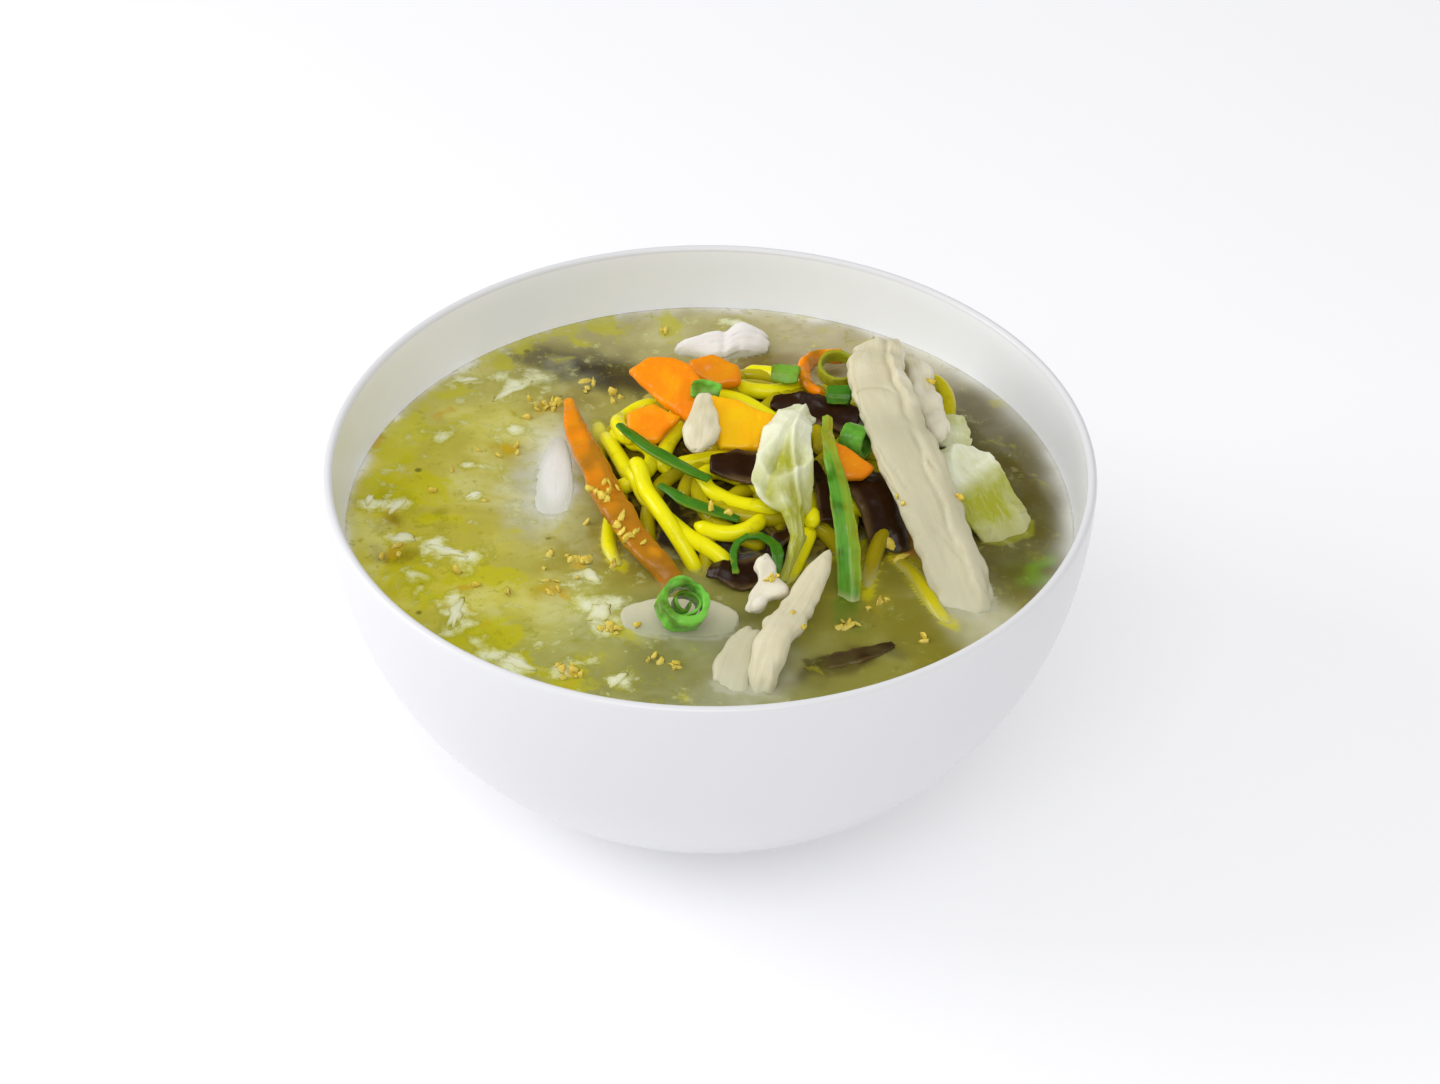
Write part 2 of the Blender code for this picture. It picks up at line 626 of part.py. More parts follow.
def scallions(home, look, pile):
    """Lay the scallion leaves, rings and bits."""
    thick = SCALLION_THICKNESS
    ribbon("scallion_leaf_left_a", [(-19.5, 14, 70, 1.5), (-13.5, 6, 70.5, 2.6), (-7, 0, 70.5, 2.8),
                                    (0, -5, 70, 2)], thick, home, look, pile, cells=(7, 2), cup=0.4)
    ribbon("scallion_leaf_left_b", [(-10.5, -3, 69, 1.5), (-4.5, -8.5, 69, 3), (1, -11.5, 69, 3.2),
                                    (6, -13, 68, 1.5)], thick, home, look, pile, cells=(7, 2), cup=0.4)
    ring("scallion_ring_back", (27.5, 36, 71.5), (0.1, -0.2, 1.0), 4.6, 0.9, 3.0, home, look, pile)
    ribbon("scallion_bit_back", [(13, 34, 71, 3.5), (16, 33.5, 71.5, 4.2), (19, 33, 71, 3.8)],
           SCALLION_BIT_THICKNESS, home, look, pile, rolls=[30] * 3, cells=(3, 2), cup=0.6)
    ribbon("scallion_bit_dark", [(25, 25, 72, 3.6), (27.5, 24.5, 72.5, 4.4), (30, 24, 72, 4.2)],
           SCALLION_BIT_THICKNESS, home, look, pile, rolls=[30] * 3, cells=(3, 2), cup=0.6)
    ribbon("scallion_ring_thin", [(13, -28, 63.5, 1.5), (14, -22.5, 65, 2.5), (11.5, -17.5, 66.5, 2),
                                  (7.5, -17, 66.5, 1.6), (5, -20, 65.5, 1.6), (5.5, -25.5, 63.5, 1.5)],
           thick, home, look, pile, cells=(10, 1))
    ring("scallion_ring_right", (30.6, 7.5, 73), (0.85, -0.5, 0.1), 3.5, 1.0, 5.5, home, look, pile)
    ribbon("scallion_leaf_front", [(24.5, 11, 75.5, 1.8), (24.5, 1.5, 75, 2.6), (26, -7, 73.5, 3.8),
                                   (27.5, -16, 70, 4.6), (28.5, -22.5, 66, 4.8), (28.5, -28, 61.8, 4.6),
                                   (28, -32.5, 58, 3.5)],
           thick, home, look, pile, cells=(10, 2), cup=0.7)
    ribbon("scallion_bit_mid", [(-4, 21.5, 76, 3.5), (-1.2, 21, 76.5, 4), (1.8, 20.5, 76, 3.2)],
           SCALLION_BIT_THICKNESS, home, look, pile, rolls=[25] * 3, cells=(3, 2), cup=0.7)


def chicken(home, look, pile):
    """Lay the pieces of cooked chicken."""
    thick = CHICKEN_THICKNESS
    ribbon("chicken_left", [(-33, 26, 61, 3), (-33.2, 17, 61.2, 7.5), (-33, 7, 60.2, 9),
                            (-33, -3, 58.4, 8)], thick, home, look, pile, cells=(4, 2), round_off=1,
           sink=True)
    ribbon("chicken_front_left", [(-18, -36.5, 59.8, 8), (-12, -36, 60.8, 13), (-5.5, -36, 61.4, 14),
                                  (1.5, -36.5, 60.8, 13), (6.5, -37.5, 59.8, 8)],
           3.6, home, look, pile, rolls=[20] * 5, cells=(4, 2), round_off=1, sink=True)
    ribbon("chicken_back", [(-9, 59, 59.4, 5), (-2.5, 58.5, 61, 9), (4, 59, 61.8, 10), (10, 59.5, 61.4, 9),
                            (14, 58.5, 60, 5)], 3.6, home, look, pile, rolls=[25] * 5, cells=(4, 2),
           round_off=1, cup=1.0)
    ribbon("chicken_front_fold", [(10, -42, 63.5, 4), (6.5, -47, 62.3, 8.5), (4.5, -52.5, 60.5, 10.5),
                                  (4, -58.5, 58, 9)], 4.0, home, look, pile, cells=(4, 2), round_off=1)
    ribbon("chicken_front_blade", [(25, -25, 70.5, 2), (22.5, -30, 69, 5), (19, -36, 66.8, 7.5),
                                   (16.5, -41.5, 64.6, 9), (13.5, -48, 62.2, 8.5), (11, -54, 60, 8),
                                   (9, -59, 57.8, 7)], 3.8, home, look, pile, cells=(6, 2), round_off=1)
    ribbon("chicken_front_shred", [(10.5, -23, 66.5, 3), (11.5, -27.5, 65.5, 4.5), (12, -32, 64.5, 6),
                                   (9.5, -35.5, 63.8, 6), (7, -38.5, 63, 3)], 3.0, home, look, pile,
           cells=(4, 2), round_off=1)
    ribbon("chicken_long_right", [(37, 46, 70.5, 9.5), (36, 31, 73, 11), (37.6, 18.5, 74.5, 11),
                                  (39.9, 8, 74.3, 11.5), (42.3, -1, 72.5, 12), (45, -9, 69.5, 12.5),
                                  (48, -17, 66.3, 13), (51.5, -26.5, 62.6, 14), (55.5, -37, 57.8, 14)],
           4.8, home, look, pile, cells=(9, 2), round_off=1)
    ribbon("chicken_right_shred", [(44.5, 43, 69.5, 5), (45.5, 30, 70.5, 6), (47.5, 17.5, 70, 6),
                                   (49, 11.5, 68.3, 4)], 3.6, home, look, pile, cells=(4, 2), round_off=1)
    ribbon("chicken_crumb", [(-1, 16, 74, 4.5), (-1.5, 10.5, 74, 7.5), (-2, 5.5, 74, 7),
                             (-3.5, 1.5, 73.5, 3.5)], 3.0, home, look, pile, cells=(3, 2), round_off=1)
    ring("scallion_ring_front", (-5, -38.5, 62.5), (0.25, -0.45, 0.85), 5.2, 1.5, 5.0, home,
         bpy.data.materials["scallion"], pile)


# Broth


def grown_copy(piece, home, grow):
    """Copy a piece with its surface moved outwards, to cut its place in the broth."""
    copy = put(f"cut_{piece.name}", grown_mesh(piece, grow), home)
    copy.hide_render = True
    copy.display_type = "WIRE"
    return copy


# Clusters of crisp garlic on the broth, as (x, y, spread, count)
GARLIC = [(-34, 37.5, 6, 4), (-26, 46, 4, 1), (-31, -27, 5, 3), (-17, -50, 4, 1), (-12, -50, 3, 2),
          (-26.5, -54, 3, 2), (37, -31, 3, 2), (31, -37, 3, 1), (-58, 8, 9, 3), (-48, -22, 9, 2),
          (-55, 24, 7, 2), (-12, 66, 1, 1)]
# Wisps of set egg, each a short flake as ((x, y), (x, y), width)
WISPS = [((-66, -4), (-61, -9), 5), ((-57, -14), (-48, -19), 6), ((-52, -36), (-47, -33), 5),
         ((-24, -30), (-21, -36), 5), ((-46, 43), (-38, 45), 4), ((-54, 12), (-49, 8), 5),
         ((-21, -55), (-17, -57), 4)]


def garlic_bits(pile, home):
    """Scatter the garlic over its clusters, clear of everything that lies there."""
    draw = random.Random(SEED)
    for x0, y0, spread, count in GARLIC:
        placed = 0
        for _ in range(40):
            if placed == count:
                break
            x = x0 + spread * (2 * draw.random() - 1)
            y = y0 + spread * (2 * draw.random() - 1)
            near = [(x + dx, y + dy) for dx in (-2.5, 0, 2.5) for dy in (-2.5, 0, 2.5)]
            if any(pile_height(pile, a * MM, b * MM) is not None for a, b in near):
                continue
            radius = GARLIC_RADIUS * (0.8 + 0.5 * draw.random())
            bm = bmesh.new()
            bmesh.ops.create_icosphere(bm, subdivisions=1, radius=radius * MM)
            bmesh.ops.rotate(bm, verts=bm.verts, matrix=Matrix.Rotation(draw.random() * 3.0, 3, (1, 1, 0)))
            bmesh.ops.translate(bm, verts=bm.verts, vec=Vector((x, y, SOUP_LEVEL + 0.1)) * MM)
            mesh = bpy.data.meshes.new("garlic")
            bm.to_mesh(mesh)
            bm.free()
            put("garlic", mesh, home)
            placed += 1


def wisps(home):
    """Lay the flakes of set egg half in the broth's surface."""
    for k, ((x0, y0), (x1, y1), width) in enumerate(WISPS):
        middle = ((x0 + x1) / 2, (y0 + y1) / 2)
        stations = [(x0, y0, SOUP_LEVEL, 0.4 * width), (*middle, SOUP_LEVEL + 0.1, width),
                    (x1, y1, SOUP_LEVEL, 0.5 * width)]
        ribbon(f"wisp_{k}", stations, 0.9, home, None, [], cells=(4, 2), ripple=(0.15, 1.0), sink=True)


def keep_largest(piece):
    """Drop loose scraps that a cut leaves beside the main body."""
    bm = bmesh.new()
    bm.from_mesh(piece.data)
    left = set(bm.verts)
    groups = []
    while left:
        group = set()
        front = [left.pop()]
        while front:
            vertex = front.pop()
            group.add(vertex)
            for edge in vertex.link_edges:
                other = edge.other_vert(vertex)
                if other in left:
                    left.remove(other)
                    front.append(other)
        groups.append(group)
    groups.sort(key=len)
    for group in groups[:-1]:
        bmesh.ops.delete(bm, geom=list(group), context="VERTS")
    bm.to_mesh(piece.data)
    bm.free()


def broth(home, look, pile, toppings, routes):
    """Fill the bowl to the soup level and cut the broth round what dips into it."""
    profile = inner_profile(CLEARANCE)
    profile.append((0.0, SOUP_LEVEL))
    pool = turned("broth", profile[::-1], home, look)
    flakes = collection("flakes")
    garlic_bits(pile, flakes)
    wisps(flakes)
    fuse(pool, flakes)
    cutters = collection("broth cutters")
    dipping = [route for route in routes if min(route[:, 2]) - NOODLE_RADIUS < SOUP_LEVEL + CLEARANCE]
    noodle_heap(dipping, cutters, "cut_heap", grow=CLEARANCE + 0.1)
    for piece in toppings:
        lowest = min(vertex.co.z for vertex in piece.data.vertices) / MM
        if lowest < SOUP_LEVEL + 2 * CLEARANCE:
            grown_copy(piece, cutters, CLEARANCE + 0.1)
    cut = pool.modifiers.new("cut", "BOOLEAN")
    cut.operation = "DIFFERENCE"
    cut.operand_type = "COLLECTION"
    cut.collection = cutters
    cut.solver = "MANIFOLD"
    bake(pool, weld=FINE_WELD)
    for cutter in list(cutters.objects):
        bpy.data.objects.remove(cutter)
    bpy.data.collections.remove(cutters)
    keep_largest(pool)
    soften(pool, 25.0)
    return pool


def main():
    for old in list(bpy.data.objects):
        bpy.data.objects.remove(old, do_unlink=True)
    looks = {name: material(name) for name in COLOURS}
    home = collection("chicken noodle soup")
    soften(turned("bowl", bowl_profile(), home, looks["porcelain"]))
    routes = noodle_routes()
    heap = noodle_heap(routes, home, "noodle_heap", looks["noodle"])
    soften(heap)
    pile = [tree_of(heap)]
    mushrooms(home, looks["mushroom"], pile)
    carrots(home, looks["carrot"], pile)
    cabbages(home, looks["cabbage"], pile)
    scallions(home, looks["scallion"], pile)
    chicken(home, looks["chicken"], pile)
    toppings = [piece for piece in home.objects if piece.name not in ("bowl", "noodle_heap")]
    broth(home, looks["broth"], pile, toppings, routes)


main()
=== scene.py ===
"""Chicken noodle soup in its round white bowl, finished over its fixed CAD frame.

The script is laid out as an add-on: each piece or group of like pieces has its operator, and
the sizes and colours that someone would change are properties of the scene. Run as a script,
it makes the whole bowl. Places and sizes are in millimetres in the bowl's own frame, with the
origin under the foot, +Z up and the diner at -Y, and become metres where a mesh is made.
"""
import json
import math
import random

import bmesh
import bpy
import numpy as np
from bpy.props import FloatProperty, FloatVectorProperty, IntProperty, PointerProperty
from mathutils import Matrix, Vector
from mathutils.bvhtree import BVHTree

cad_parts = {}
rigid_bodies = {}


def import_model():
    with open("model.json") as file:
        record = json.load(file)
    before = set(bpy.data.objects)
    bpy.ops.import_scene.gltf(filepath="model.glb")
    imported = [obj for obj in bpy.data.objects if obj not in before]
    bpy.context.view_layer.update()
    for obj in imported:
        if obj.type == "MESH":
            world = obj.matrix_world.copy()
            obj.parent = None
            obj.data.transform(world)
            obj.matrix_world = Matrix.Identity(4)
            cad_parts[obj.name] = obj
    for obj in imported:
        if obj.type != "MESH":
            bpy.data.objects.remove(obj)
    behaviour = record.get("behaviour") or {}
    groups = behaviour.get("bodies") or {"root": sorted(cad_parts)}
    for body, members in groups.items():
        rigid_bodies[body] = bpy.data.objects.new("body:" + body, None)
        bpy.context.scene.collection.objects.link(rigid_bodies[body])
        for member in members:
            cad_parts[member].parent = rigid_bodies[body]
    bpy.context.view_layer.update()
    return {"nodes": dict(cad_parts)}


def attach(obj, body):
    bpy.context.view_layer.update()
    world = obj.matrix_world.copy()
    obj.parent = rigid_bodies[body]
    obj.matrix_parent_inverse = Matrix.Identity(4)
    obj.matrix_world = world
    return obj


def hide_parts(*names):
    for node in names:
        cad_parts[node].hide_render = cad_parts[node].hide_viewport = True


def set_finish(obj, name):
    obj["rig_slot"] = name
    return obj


bl_info = {
    "name": "Chicken noodle soup",
    "version": (1, 0, 0),
    "blender": (4, 5, 0),
    "location": "3D View > Sidebar > Soup",
    "description": "Makes a bowl of chicken noodle soup, piece by piece, over its fixed frame",
    "category": "Add Mesh",
}

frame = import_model()

MM = 0.001

# Bowl, as in the CAD
RIM_RADIUS = 80.0
RIM_HEIGHT = 75.2
BODY_DEPTH = 80.9
BODY_POWER = 2.15
WALL = 2.1
FLOOR_HEIGHT = 8.0
FOOT_RADIUS = 35.5
FOOT_WIDTH = 4.5
FOOT_HEIGHT = 4.4
HOLLOW_HEIGHT = 3.2
HUB = 0.5
INSIDE_POINTS = 28
OUTSIDE_POINTS = 27
LIP_POINTS = 8
FOOT_POINTS = 4

# Broth: its level, how far it reaches into the wall, the radii of its surface's rings, the count
# of rings below it, and how deep something sunk still shows
SOUP_LEVEL = 60.0
OVERLAP = 0.2
MIDDLE_RINGS = (8.0, 14.0, 19.0)
FIRST_FINE_RING = 22.0
RINGS_BELOW = 13
DEEPEST_SEEN = 9.0
UNSEEN_TINT = 0.2

# Noodle heap, as in the CAD
CORE_CENTRE = (8.5, 13.5)
CORE_RADII = (34.5, 35.5)
CORE_BASE = 53.5
CORE_HEIGHT = 14.5
CORE_POWER = 3.0
CORE_BELOW = 7.0
NOODLE_RADIUS = 1.75
NOODLE_SINK = 0.9
NOODLE_STEP = 3.9
NOODLE_SLOPE = 0.6
NOODLE_END_HEIGHT = 58.0
LOOP_COUNT = 7
LOOP_POINTS = 7
SEED = 7

# Each size of a loop, as its least and how much more it may be
LOOP_REACH = (0.70, 0.16)
LOOP_RADIUS = (5.5, 3.0)
LOOP_TURN = (0.6, 0.8)
LOOP_SWEEP = (200, 90)
LOOP_STRETCH = (1.0, 0.5)

# Heap only here: how far its core is drawn in, and the deeper noodles, kept under what lies on them
CORE_INSET = 0.7
FILLER_REACH = 0.93
FILLER_BEND = (0.05, 0.16)
FILLER_STEP = 2.0
FILLER_STEPS = (12, 22)
FILLER_FEWEST = 8
FILLER_END_DROP = 1.6
# Painted shade on the deeper noodles
FILLER_SHADE = 0.7
LID_GAP = 0.25

# Garlic and egg
CHIP_SIZE = 1.15
CHIP_REACH = 73.0
FLAKE_HALF_THICKNESS = 0.40
FLAKE_RINGS = 5
FLAKE_SPOKES = 26
EGG_SEED = 600

# Camera and set
LENS = 75.0
LOOK_DOWN = math.radians(38.547)
CAMERA_ROLL = math.radians(0.518)
CAMERA_DISTANCE = 636.39
LOOK_AT = (2.195, 0.0, 51.839)
COOL = (0.985, 0.985, 1.0)
HALF_FLOOR = 4000.0
LIGHT_TARGET = (0, 0, 40)
# Each light's place, width, height and share of the main light's power
LIGHTS = {"main light": ((-760, 60, 460), 500, 500, 1.0),
          "front light": ((-80, -600, 900), 700, 500, 1.02)}

# For each chicken piece: the size of its lumps, their height, the height of its fibres, and how dark, as
# painted shade and soaking in broth, or below 0 how white, it looks
CHICKEN = {
    "chicken_long_right": (8.0, 0.40, 0.07, 0.85),
    "chicken_right_shred": (4.5, 0.45, 0.09, 0.1),
    "chicken_front_blade": (6.0, 0.35, 0.08, 0.35),
    "chicken_front_fold": (6.0, 0.45, 0.08, 0.95),
    "chicken_front_shred": (3.5, 0.45, 0.09, -0.3),
    "chicken_front_left": (8.0, 0.45, 0.02, 0.6),
    "chicken_left": (7.0, 0.20, 0.0, -0.8),
    "chicken_back": (5.0, 0.50, 0.05, -0.9),
    "chicken_crumb": (3.4, 0.50, 0.03, 0.0),
}
# How yellow each piece of carrot is
CARROT = {"carrot_stick_left": 0.12, "carrot_curl_back": 0.10, "carrot_chip_left": 0.15,
          "carrot_slice_behind": 0.12, "carrot_slice_back": 0.04, "carrot_slice_mid": 0.85,
          "carrot_wedge": 0.05}
# How pale and how bright green each piece of scallion is
SCALLION = {"scallion_leaf_left_a": (0.0, 0.1), "scallion_leaf_left_b": (0.0, 0.1),
            "scallion_leaf_front": (0.05, 0.3), "scallion_ring_back": (0.85, 0.1),
            "scallion_ring_right": (0.05, 0.45), "scallion_ring_front": (0.15, 0.95),
            "scallion_ring_thin": (0.0, 0.1), "scallion_bit_back": (0.35, 0.45),
            "scallion_bit_dark": (0.0, 0.1), "scallion_bit_mid": (0.15, 1.0)}
# The pieces of each kind; the kind's name is also their slot
TOPPINGS = {
    "chicken": list(CHICKEN),
    "carrot": list(CARROT),
    "cabbage": ["cabbage_centre", "cabbage_right_small", "cabbage_right_large"],
    "mushroom": ["mushroom_front", "mushroom_right", "mushroom_low", "mushroom_centre",
                 "mushroom_strip", "mushroom_mid", "mushroom_back"],
    "scallion": list(SCALLION),
}
# For each kind: its skin's voxel, how often the skin is smoothed, its first seed, and the step
# from one piece's seed to the next
SKINS = {"chicken": (0.42, 0, 100, 10), "carrot": (0.34, 8, 200, 1), "cabbage": (0.30, 6, 300, 10),
         "mushroom": (0.32, 4, 400, 10), "scallion": (0.22, 8, 500, 10)}


# Settings


def colour_property(name, description, default):
    """Make a colour that the user can change."""
    return FloatVectorProperty(name=name, description=description, subtype="COLOR", size=3,
                               min=0.0, max=1.0, default=default)


class SoupBowlSettings(bpy.types.PropertyGroup):
    """The bowl's finish."""

    steps: IntProperty(name="Steps round", description="How many faces the bowl has round its rim",
                       default=180, min=24, max=512)
    # Painted light: one glaze, painted darker outside as painted shade and lighter inside as painted light
    glaze: colour_property("Glaze", "Colour of the white glaze outside", (0.74, 0.74, 0.755))
    inside: colour_property("Inside glaze", "Colour of the white glaze inside", (0.95, 0.97, 1.0))
    foot: colour_property("Bare foot", "Colour of the unglazed ring that it stands on", (0.74, 0.71, 0.66))


class SoupBrothSettings(bpy.types.PropertyGroup):
    """The broth's surface."""

    steps: IntProperty(name="Steps round", description="How many faces the broth has round its edge",
                       default=480, min=64, max=720)
    pitch: FloatProperty(name="Ring pitch", description="Spacing of the surface's rings, in millimetres",
                         default=0.8, min=0.4, max=4.0)
    meniscus: FloatProperty(name="Meniscus", description="How far the broth climbs the wall, in millimetres",
                            default=0.10, min=0.0, max=2.0)
    oil: colour_property("Oil", "Colour of the yellow oil on the broth", (0.49, 0.46, 0.005))
    milk: colour_property("Milk", "Colour of the cloudy egg in the broth", (0.68, 0.70, 0.39))
    crumb: colour_property("Crumb", "Colour of the golden crumbs that float", (0.52, 0.33, 0.012))
    murk: colour_property("Murk", "Colour of the broth over what is just sunk", (0.34, 0.31, 0.07))
    deep: colour_property("Deep", "Colour of the clear, dark broth", (0.19, 0.165, 0.018))


class SoupNoodleSettings(bpy.types.PropertyGroup):
    """The noodles."""

    sides: IntProperty(name="Sides", description="How many faces a noodle has round it", default=14,
                       min=6, max=32)
    step: FloatProperty(name="Step", description="Length of a noodle's segments, in millimetres",
                        default=0.7, min=0.3, max=4.0)
    uneven: FloatProperty(name="Unevenness", description="How much a noodle's thickness varies",
                          default=0.10, min=0.0, max=0.5)
    fillers: IntProperty(name="Fillers", description="How many deeper noodles fill the gaps", default=34,
                         min=0, max=120)
    bright: colour_property("Noodle", "Colour of a noodle on top of the heap", (0.84, 0.77, 0.002))
    # Painted shade on the noodles that lie deep
    shade: colour_property("Deep noodle", "Colour of a noodle deep in the heap", (0.27, 0.20, 0.003))
    # Painted shade: the gaps are coloured nearly black to stand in for the shade down between the noodles
    core: colour_property("Gap", "Colour down between the noodles", (0.035, 0.022, 0.003))


class SoupToppingSettings(bpy.types.PropertyGroup):
    """The toppings' colours."""

    chicken: colour_property("Chicken", "Colour of the cooked meat", (0.73, 0.675, 0.475))
    # Also painted shade in the meat's grooves
    chicken_shade: colour_property("Chicken grooves", "Colour between the meat's fibres", (0.56, 0.48, 0.26))
    carrot: colour_property("Carrot", "Colour of the carrot", (0.98, 0.27, 0.001))
    carrot_pale: colour_property("Pale carrot", "Colour of the carrot's lighter parts", (0.96, 0.56, 0.002))
    cabbage: colour_property("Cabbage", "Colour of the leaf's white parts", (0.83, 0.86, 0.62))
    cabbage_green: colour_property("Green cabbage", "Colour of the leaf's green parts", (0.39, 0.40, 0.025))
    mushroom: colour_property("Mushroom", "Colour of the dark wood-ear", (0.030, 0.010, 0.002))
    mushroom_edge: colour_property("Mushroom edge", "Colour of its thin edges", (0.16, 0.095, 0.03))
    scallion: colour_property("Scallion", "Colour of the green leaf", (0.035, 0.15, 0.006))
    fresh: colour_property("Fresh scallion", "Colour of the bright green cut bits", (0.20, 0.60, 0.07))
    scallion_pale: colour_property("Pale scallion", "Colour of the leaf's inside", (0.40, 0.37, 0.015))
    garlic: colour_property("Garlic", "Colour of the crisp garlic bits", (0.80, 0.60, 0.07))
    egg: colour_property("Egg", "Colour of the flakes of set egg", (0.74, 0.74, 0.50))


class SoupStageSettings(bpy.types.PropertyGroup):
    """The set."""

    floor: colour_property("Floor", "Colour of the floor", (0.70, 0.70, 0.72))
    glow: FloatProperty(name="Floor glow", description="How much the floor shines, to soften shadows",
                        default=0.28, min=0.0, max=1.0)
    sky: FloatProperty(name="Fill light", description="Strength of the even light from all round",
                       default=0.72, min=0.0, max=4.0)
    key: FloatProperty(name="Main light", description="Power of the large soft light, in watts",
                       default=3.12, min=0.0, max=200.0)


# Node trees


class Signal:
    """A number in a node tree, on which arithmetic adds Math nodes."""

    def __init__(self, tree, socket):
        self.tree = tree
        self.socket = socket

    def math(self, operation, *values, clamp=False):
        """Add a Math node on these values and give what comes out."""
        node = self.tree.node("ShaderNodeMath", {"operation": operation, "use_clamp": clamp},
                              dict(enumerate(values)))
        return Signal(self.tree, node.outputs[0])

    def __add__(self, other):
        return self.math("ADD", self, other)

    def __radd__(self, other):
        return self.math("ADD", other, self)

    def __sub__(self, other):
        return self.math("SUBTRACT", self, other)

    def __rsub__(self, other):
        return self.math("SUBTRACT", other, self)

    def __mul__(self, other):
        return self.math("MULTIPLY", self, other)

    def __rmul__(self, other):
        return self.math("MULTIPLY", other, self)

    def clamped(self):
        """Hold the number between 0 and 1."""
        return self.math("ADD", self, 0.0, clamp=True)

    def step(self, low, high):
        """Rise smoothly from 0 at low to 1 at high, or fall where low is the larger."""
        settings = {"interpolation_type": "SMOOTHSTEP"}
        values = {"Value": self, "From Min": low, "From Max": high, "To Min": 0.0, "To Max": 1.0}
        if low > high:
            values.update({"From Min": high, "From Max": low, "To Min": 1.0, "To Max": 0.0})
        return Signal(self.tree, self.tree.node("ShaderNodeMapRange", settings, values).outputs[0])


class Tree:
    """A node tree that is being built."""

    def __init__(self, tree):
        self.tree = tree

    def node(self, kind, settings=None, values=None):
        """Add a node: its settings first, then the values or links of its inputs."""
        made = self.tree.nodes.new(kind)
        for name, value in (settings or {}).items():
            setattr(made, name, value)
        for name, value in (values or {}).items():
            self.feed(self.input(made, name), value)
        return made

    def input(self, node, name):
        """Find a node's input by its place, identifier or name."""
        if isinstance(name, int):
            return node.inputs[name]
        for socket in node.inputs:
            if socket.identifier == name:
                return socket
        return node.inputs[name]

    def feed(self, socket, value):
        """Set an input's value, or link it."""
        if isinstance(value, Signal):
            value = value.socket
        if isinstance(value, bpy.types.NodeSocket):
            self.tree.links.new(value, socket)
        else:
            socket.default_value = value


class Finish(Tree):
    """A material whose constants sit on its shader and whose patterns are nodes."""

    def __init__(self, name, **constants):
        self.material = bpy.data.materials.new(name)
        self.material.use_nodes = True
        super().__init__(self.material.node_tree)
        self.shader = self.tree.nodes["Principled BSDF"]
        for label, value in constants.items():
            self.shader.inputs[label.replace("_", " ")].default_value = value
        self.place = self.node("ShaderNodeTexCoord").outputs["Object"]

    def attribute(self, name):
        """Read a number that the mesh carries."""
        node = self.node("ShaderNodeAttribute", {"attribute_name": name})
        return Signal(self, node.outputs["Fac"])

    def attribute_colour(self, name):
        """Read a colour that the mesh carries."""
        return self.node("ShaderNodeAttribute", {"attribute_name": name}).outputs["Color"]

    def height(self):
        """Read the height over the table, in millimetres."""
        split = self.node("ShaderNodeSeparateXYZ", None, {0: self.place})
        return Signal(self, split.outputs[2]) * (1.0 / MM)

    def grain_place(self, run, cross):
        """Give a place that follows the piece's grain, with its steps along and across."""
        along = self.attribute("along") * run
        across = self.attribute("across") * cross
        over = self.attribute("over") * cross
        return self.node("ShaderNodeCombineXYZ", None, {0: along, 1: across, 2: over}).outputs[0]

    def noise(self, scale, detail=3.0, roughness=0.5, distortion=0.0, place=None, shift=0.0):
        """Make a noise whose features are about 1/scale metres, or units of the place given."""
        place = place or self.place
        if shift:
            place = self.node("ShaderNodeVectorMath", {"operation": "ADD"},
                              {0: place, 1: (shift, 0.7 * shift, -shift)}).outputs[0]
        values = {"Vector": place, "Scale": scale, "Detail": detail,
                  "Roughness": roughness, "Distortion": distortion}
        return Signal(self, self.node("ShaderNodeTexNoise", None, values).outputs["Fac"])

    def specks(self, scale, share):
        """Make round specks in a share of the pattern's cells."""
        node = self.node("ShaderNodeTexVoronoi", None, {"Vector": self.place, "Scale": scale})
        distance = Signal(self, node.outputs["Distance"])
        picked = self.node("ShaderNodeSeparateColor", None, {0: node.outputs["Color"]})
        chosen = Signal(self, picked.outputs[0]).step(1.0 - share, 1.01 - share)
        return distance.step(0.24, 0.12) * chosen

    def mix(self, factor, first, second):
        """Mix two colours."""
        values = {"Factor_Float": factor, "A_Color": self.colour(first), "B_Color": self.colour(second)}
        return self.node("ShaderNodeMix", {"data_type": "RGBA"}, values).outputs[2]

    def colour(self, value):
        """Give a colour four channels where it is a plain one."""
        if isinstance(value, (bpy.types.NodeSocket, Signal)):
            return value
        return (*tuple(value)[:3], 1.0)

    def surface(self, base, roughness, height=None, strength=0.0, distance=0.0):
        """Set the base colour, the roughness and the bump, and give the material.

        The bump raises the surface by a height between 0 and 1, over a distance in millimetres.
        """
        self.feed(self.shader.inputs["Base Color"], self.colour(base))
        self.feed(self.shader.inputs["Roughness"], roughness)
        if height:
            node = self.node("ShaderNodeBump", None, {"Strength": strength, "Distance": distance * MM,
                                                      "Height": height})
            self.feed(self.shader.inputs["Normal"], node.outputs[0])
        return self.material


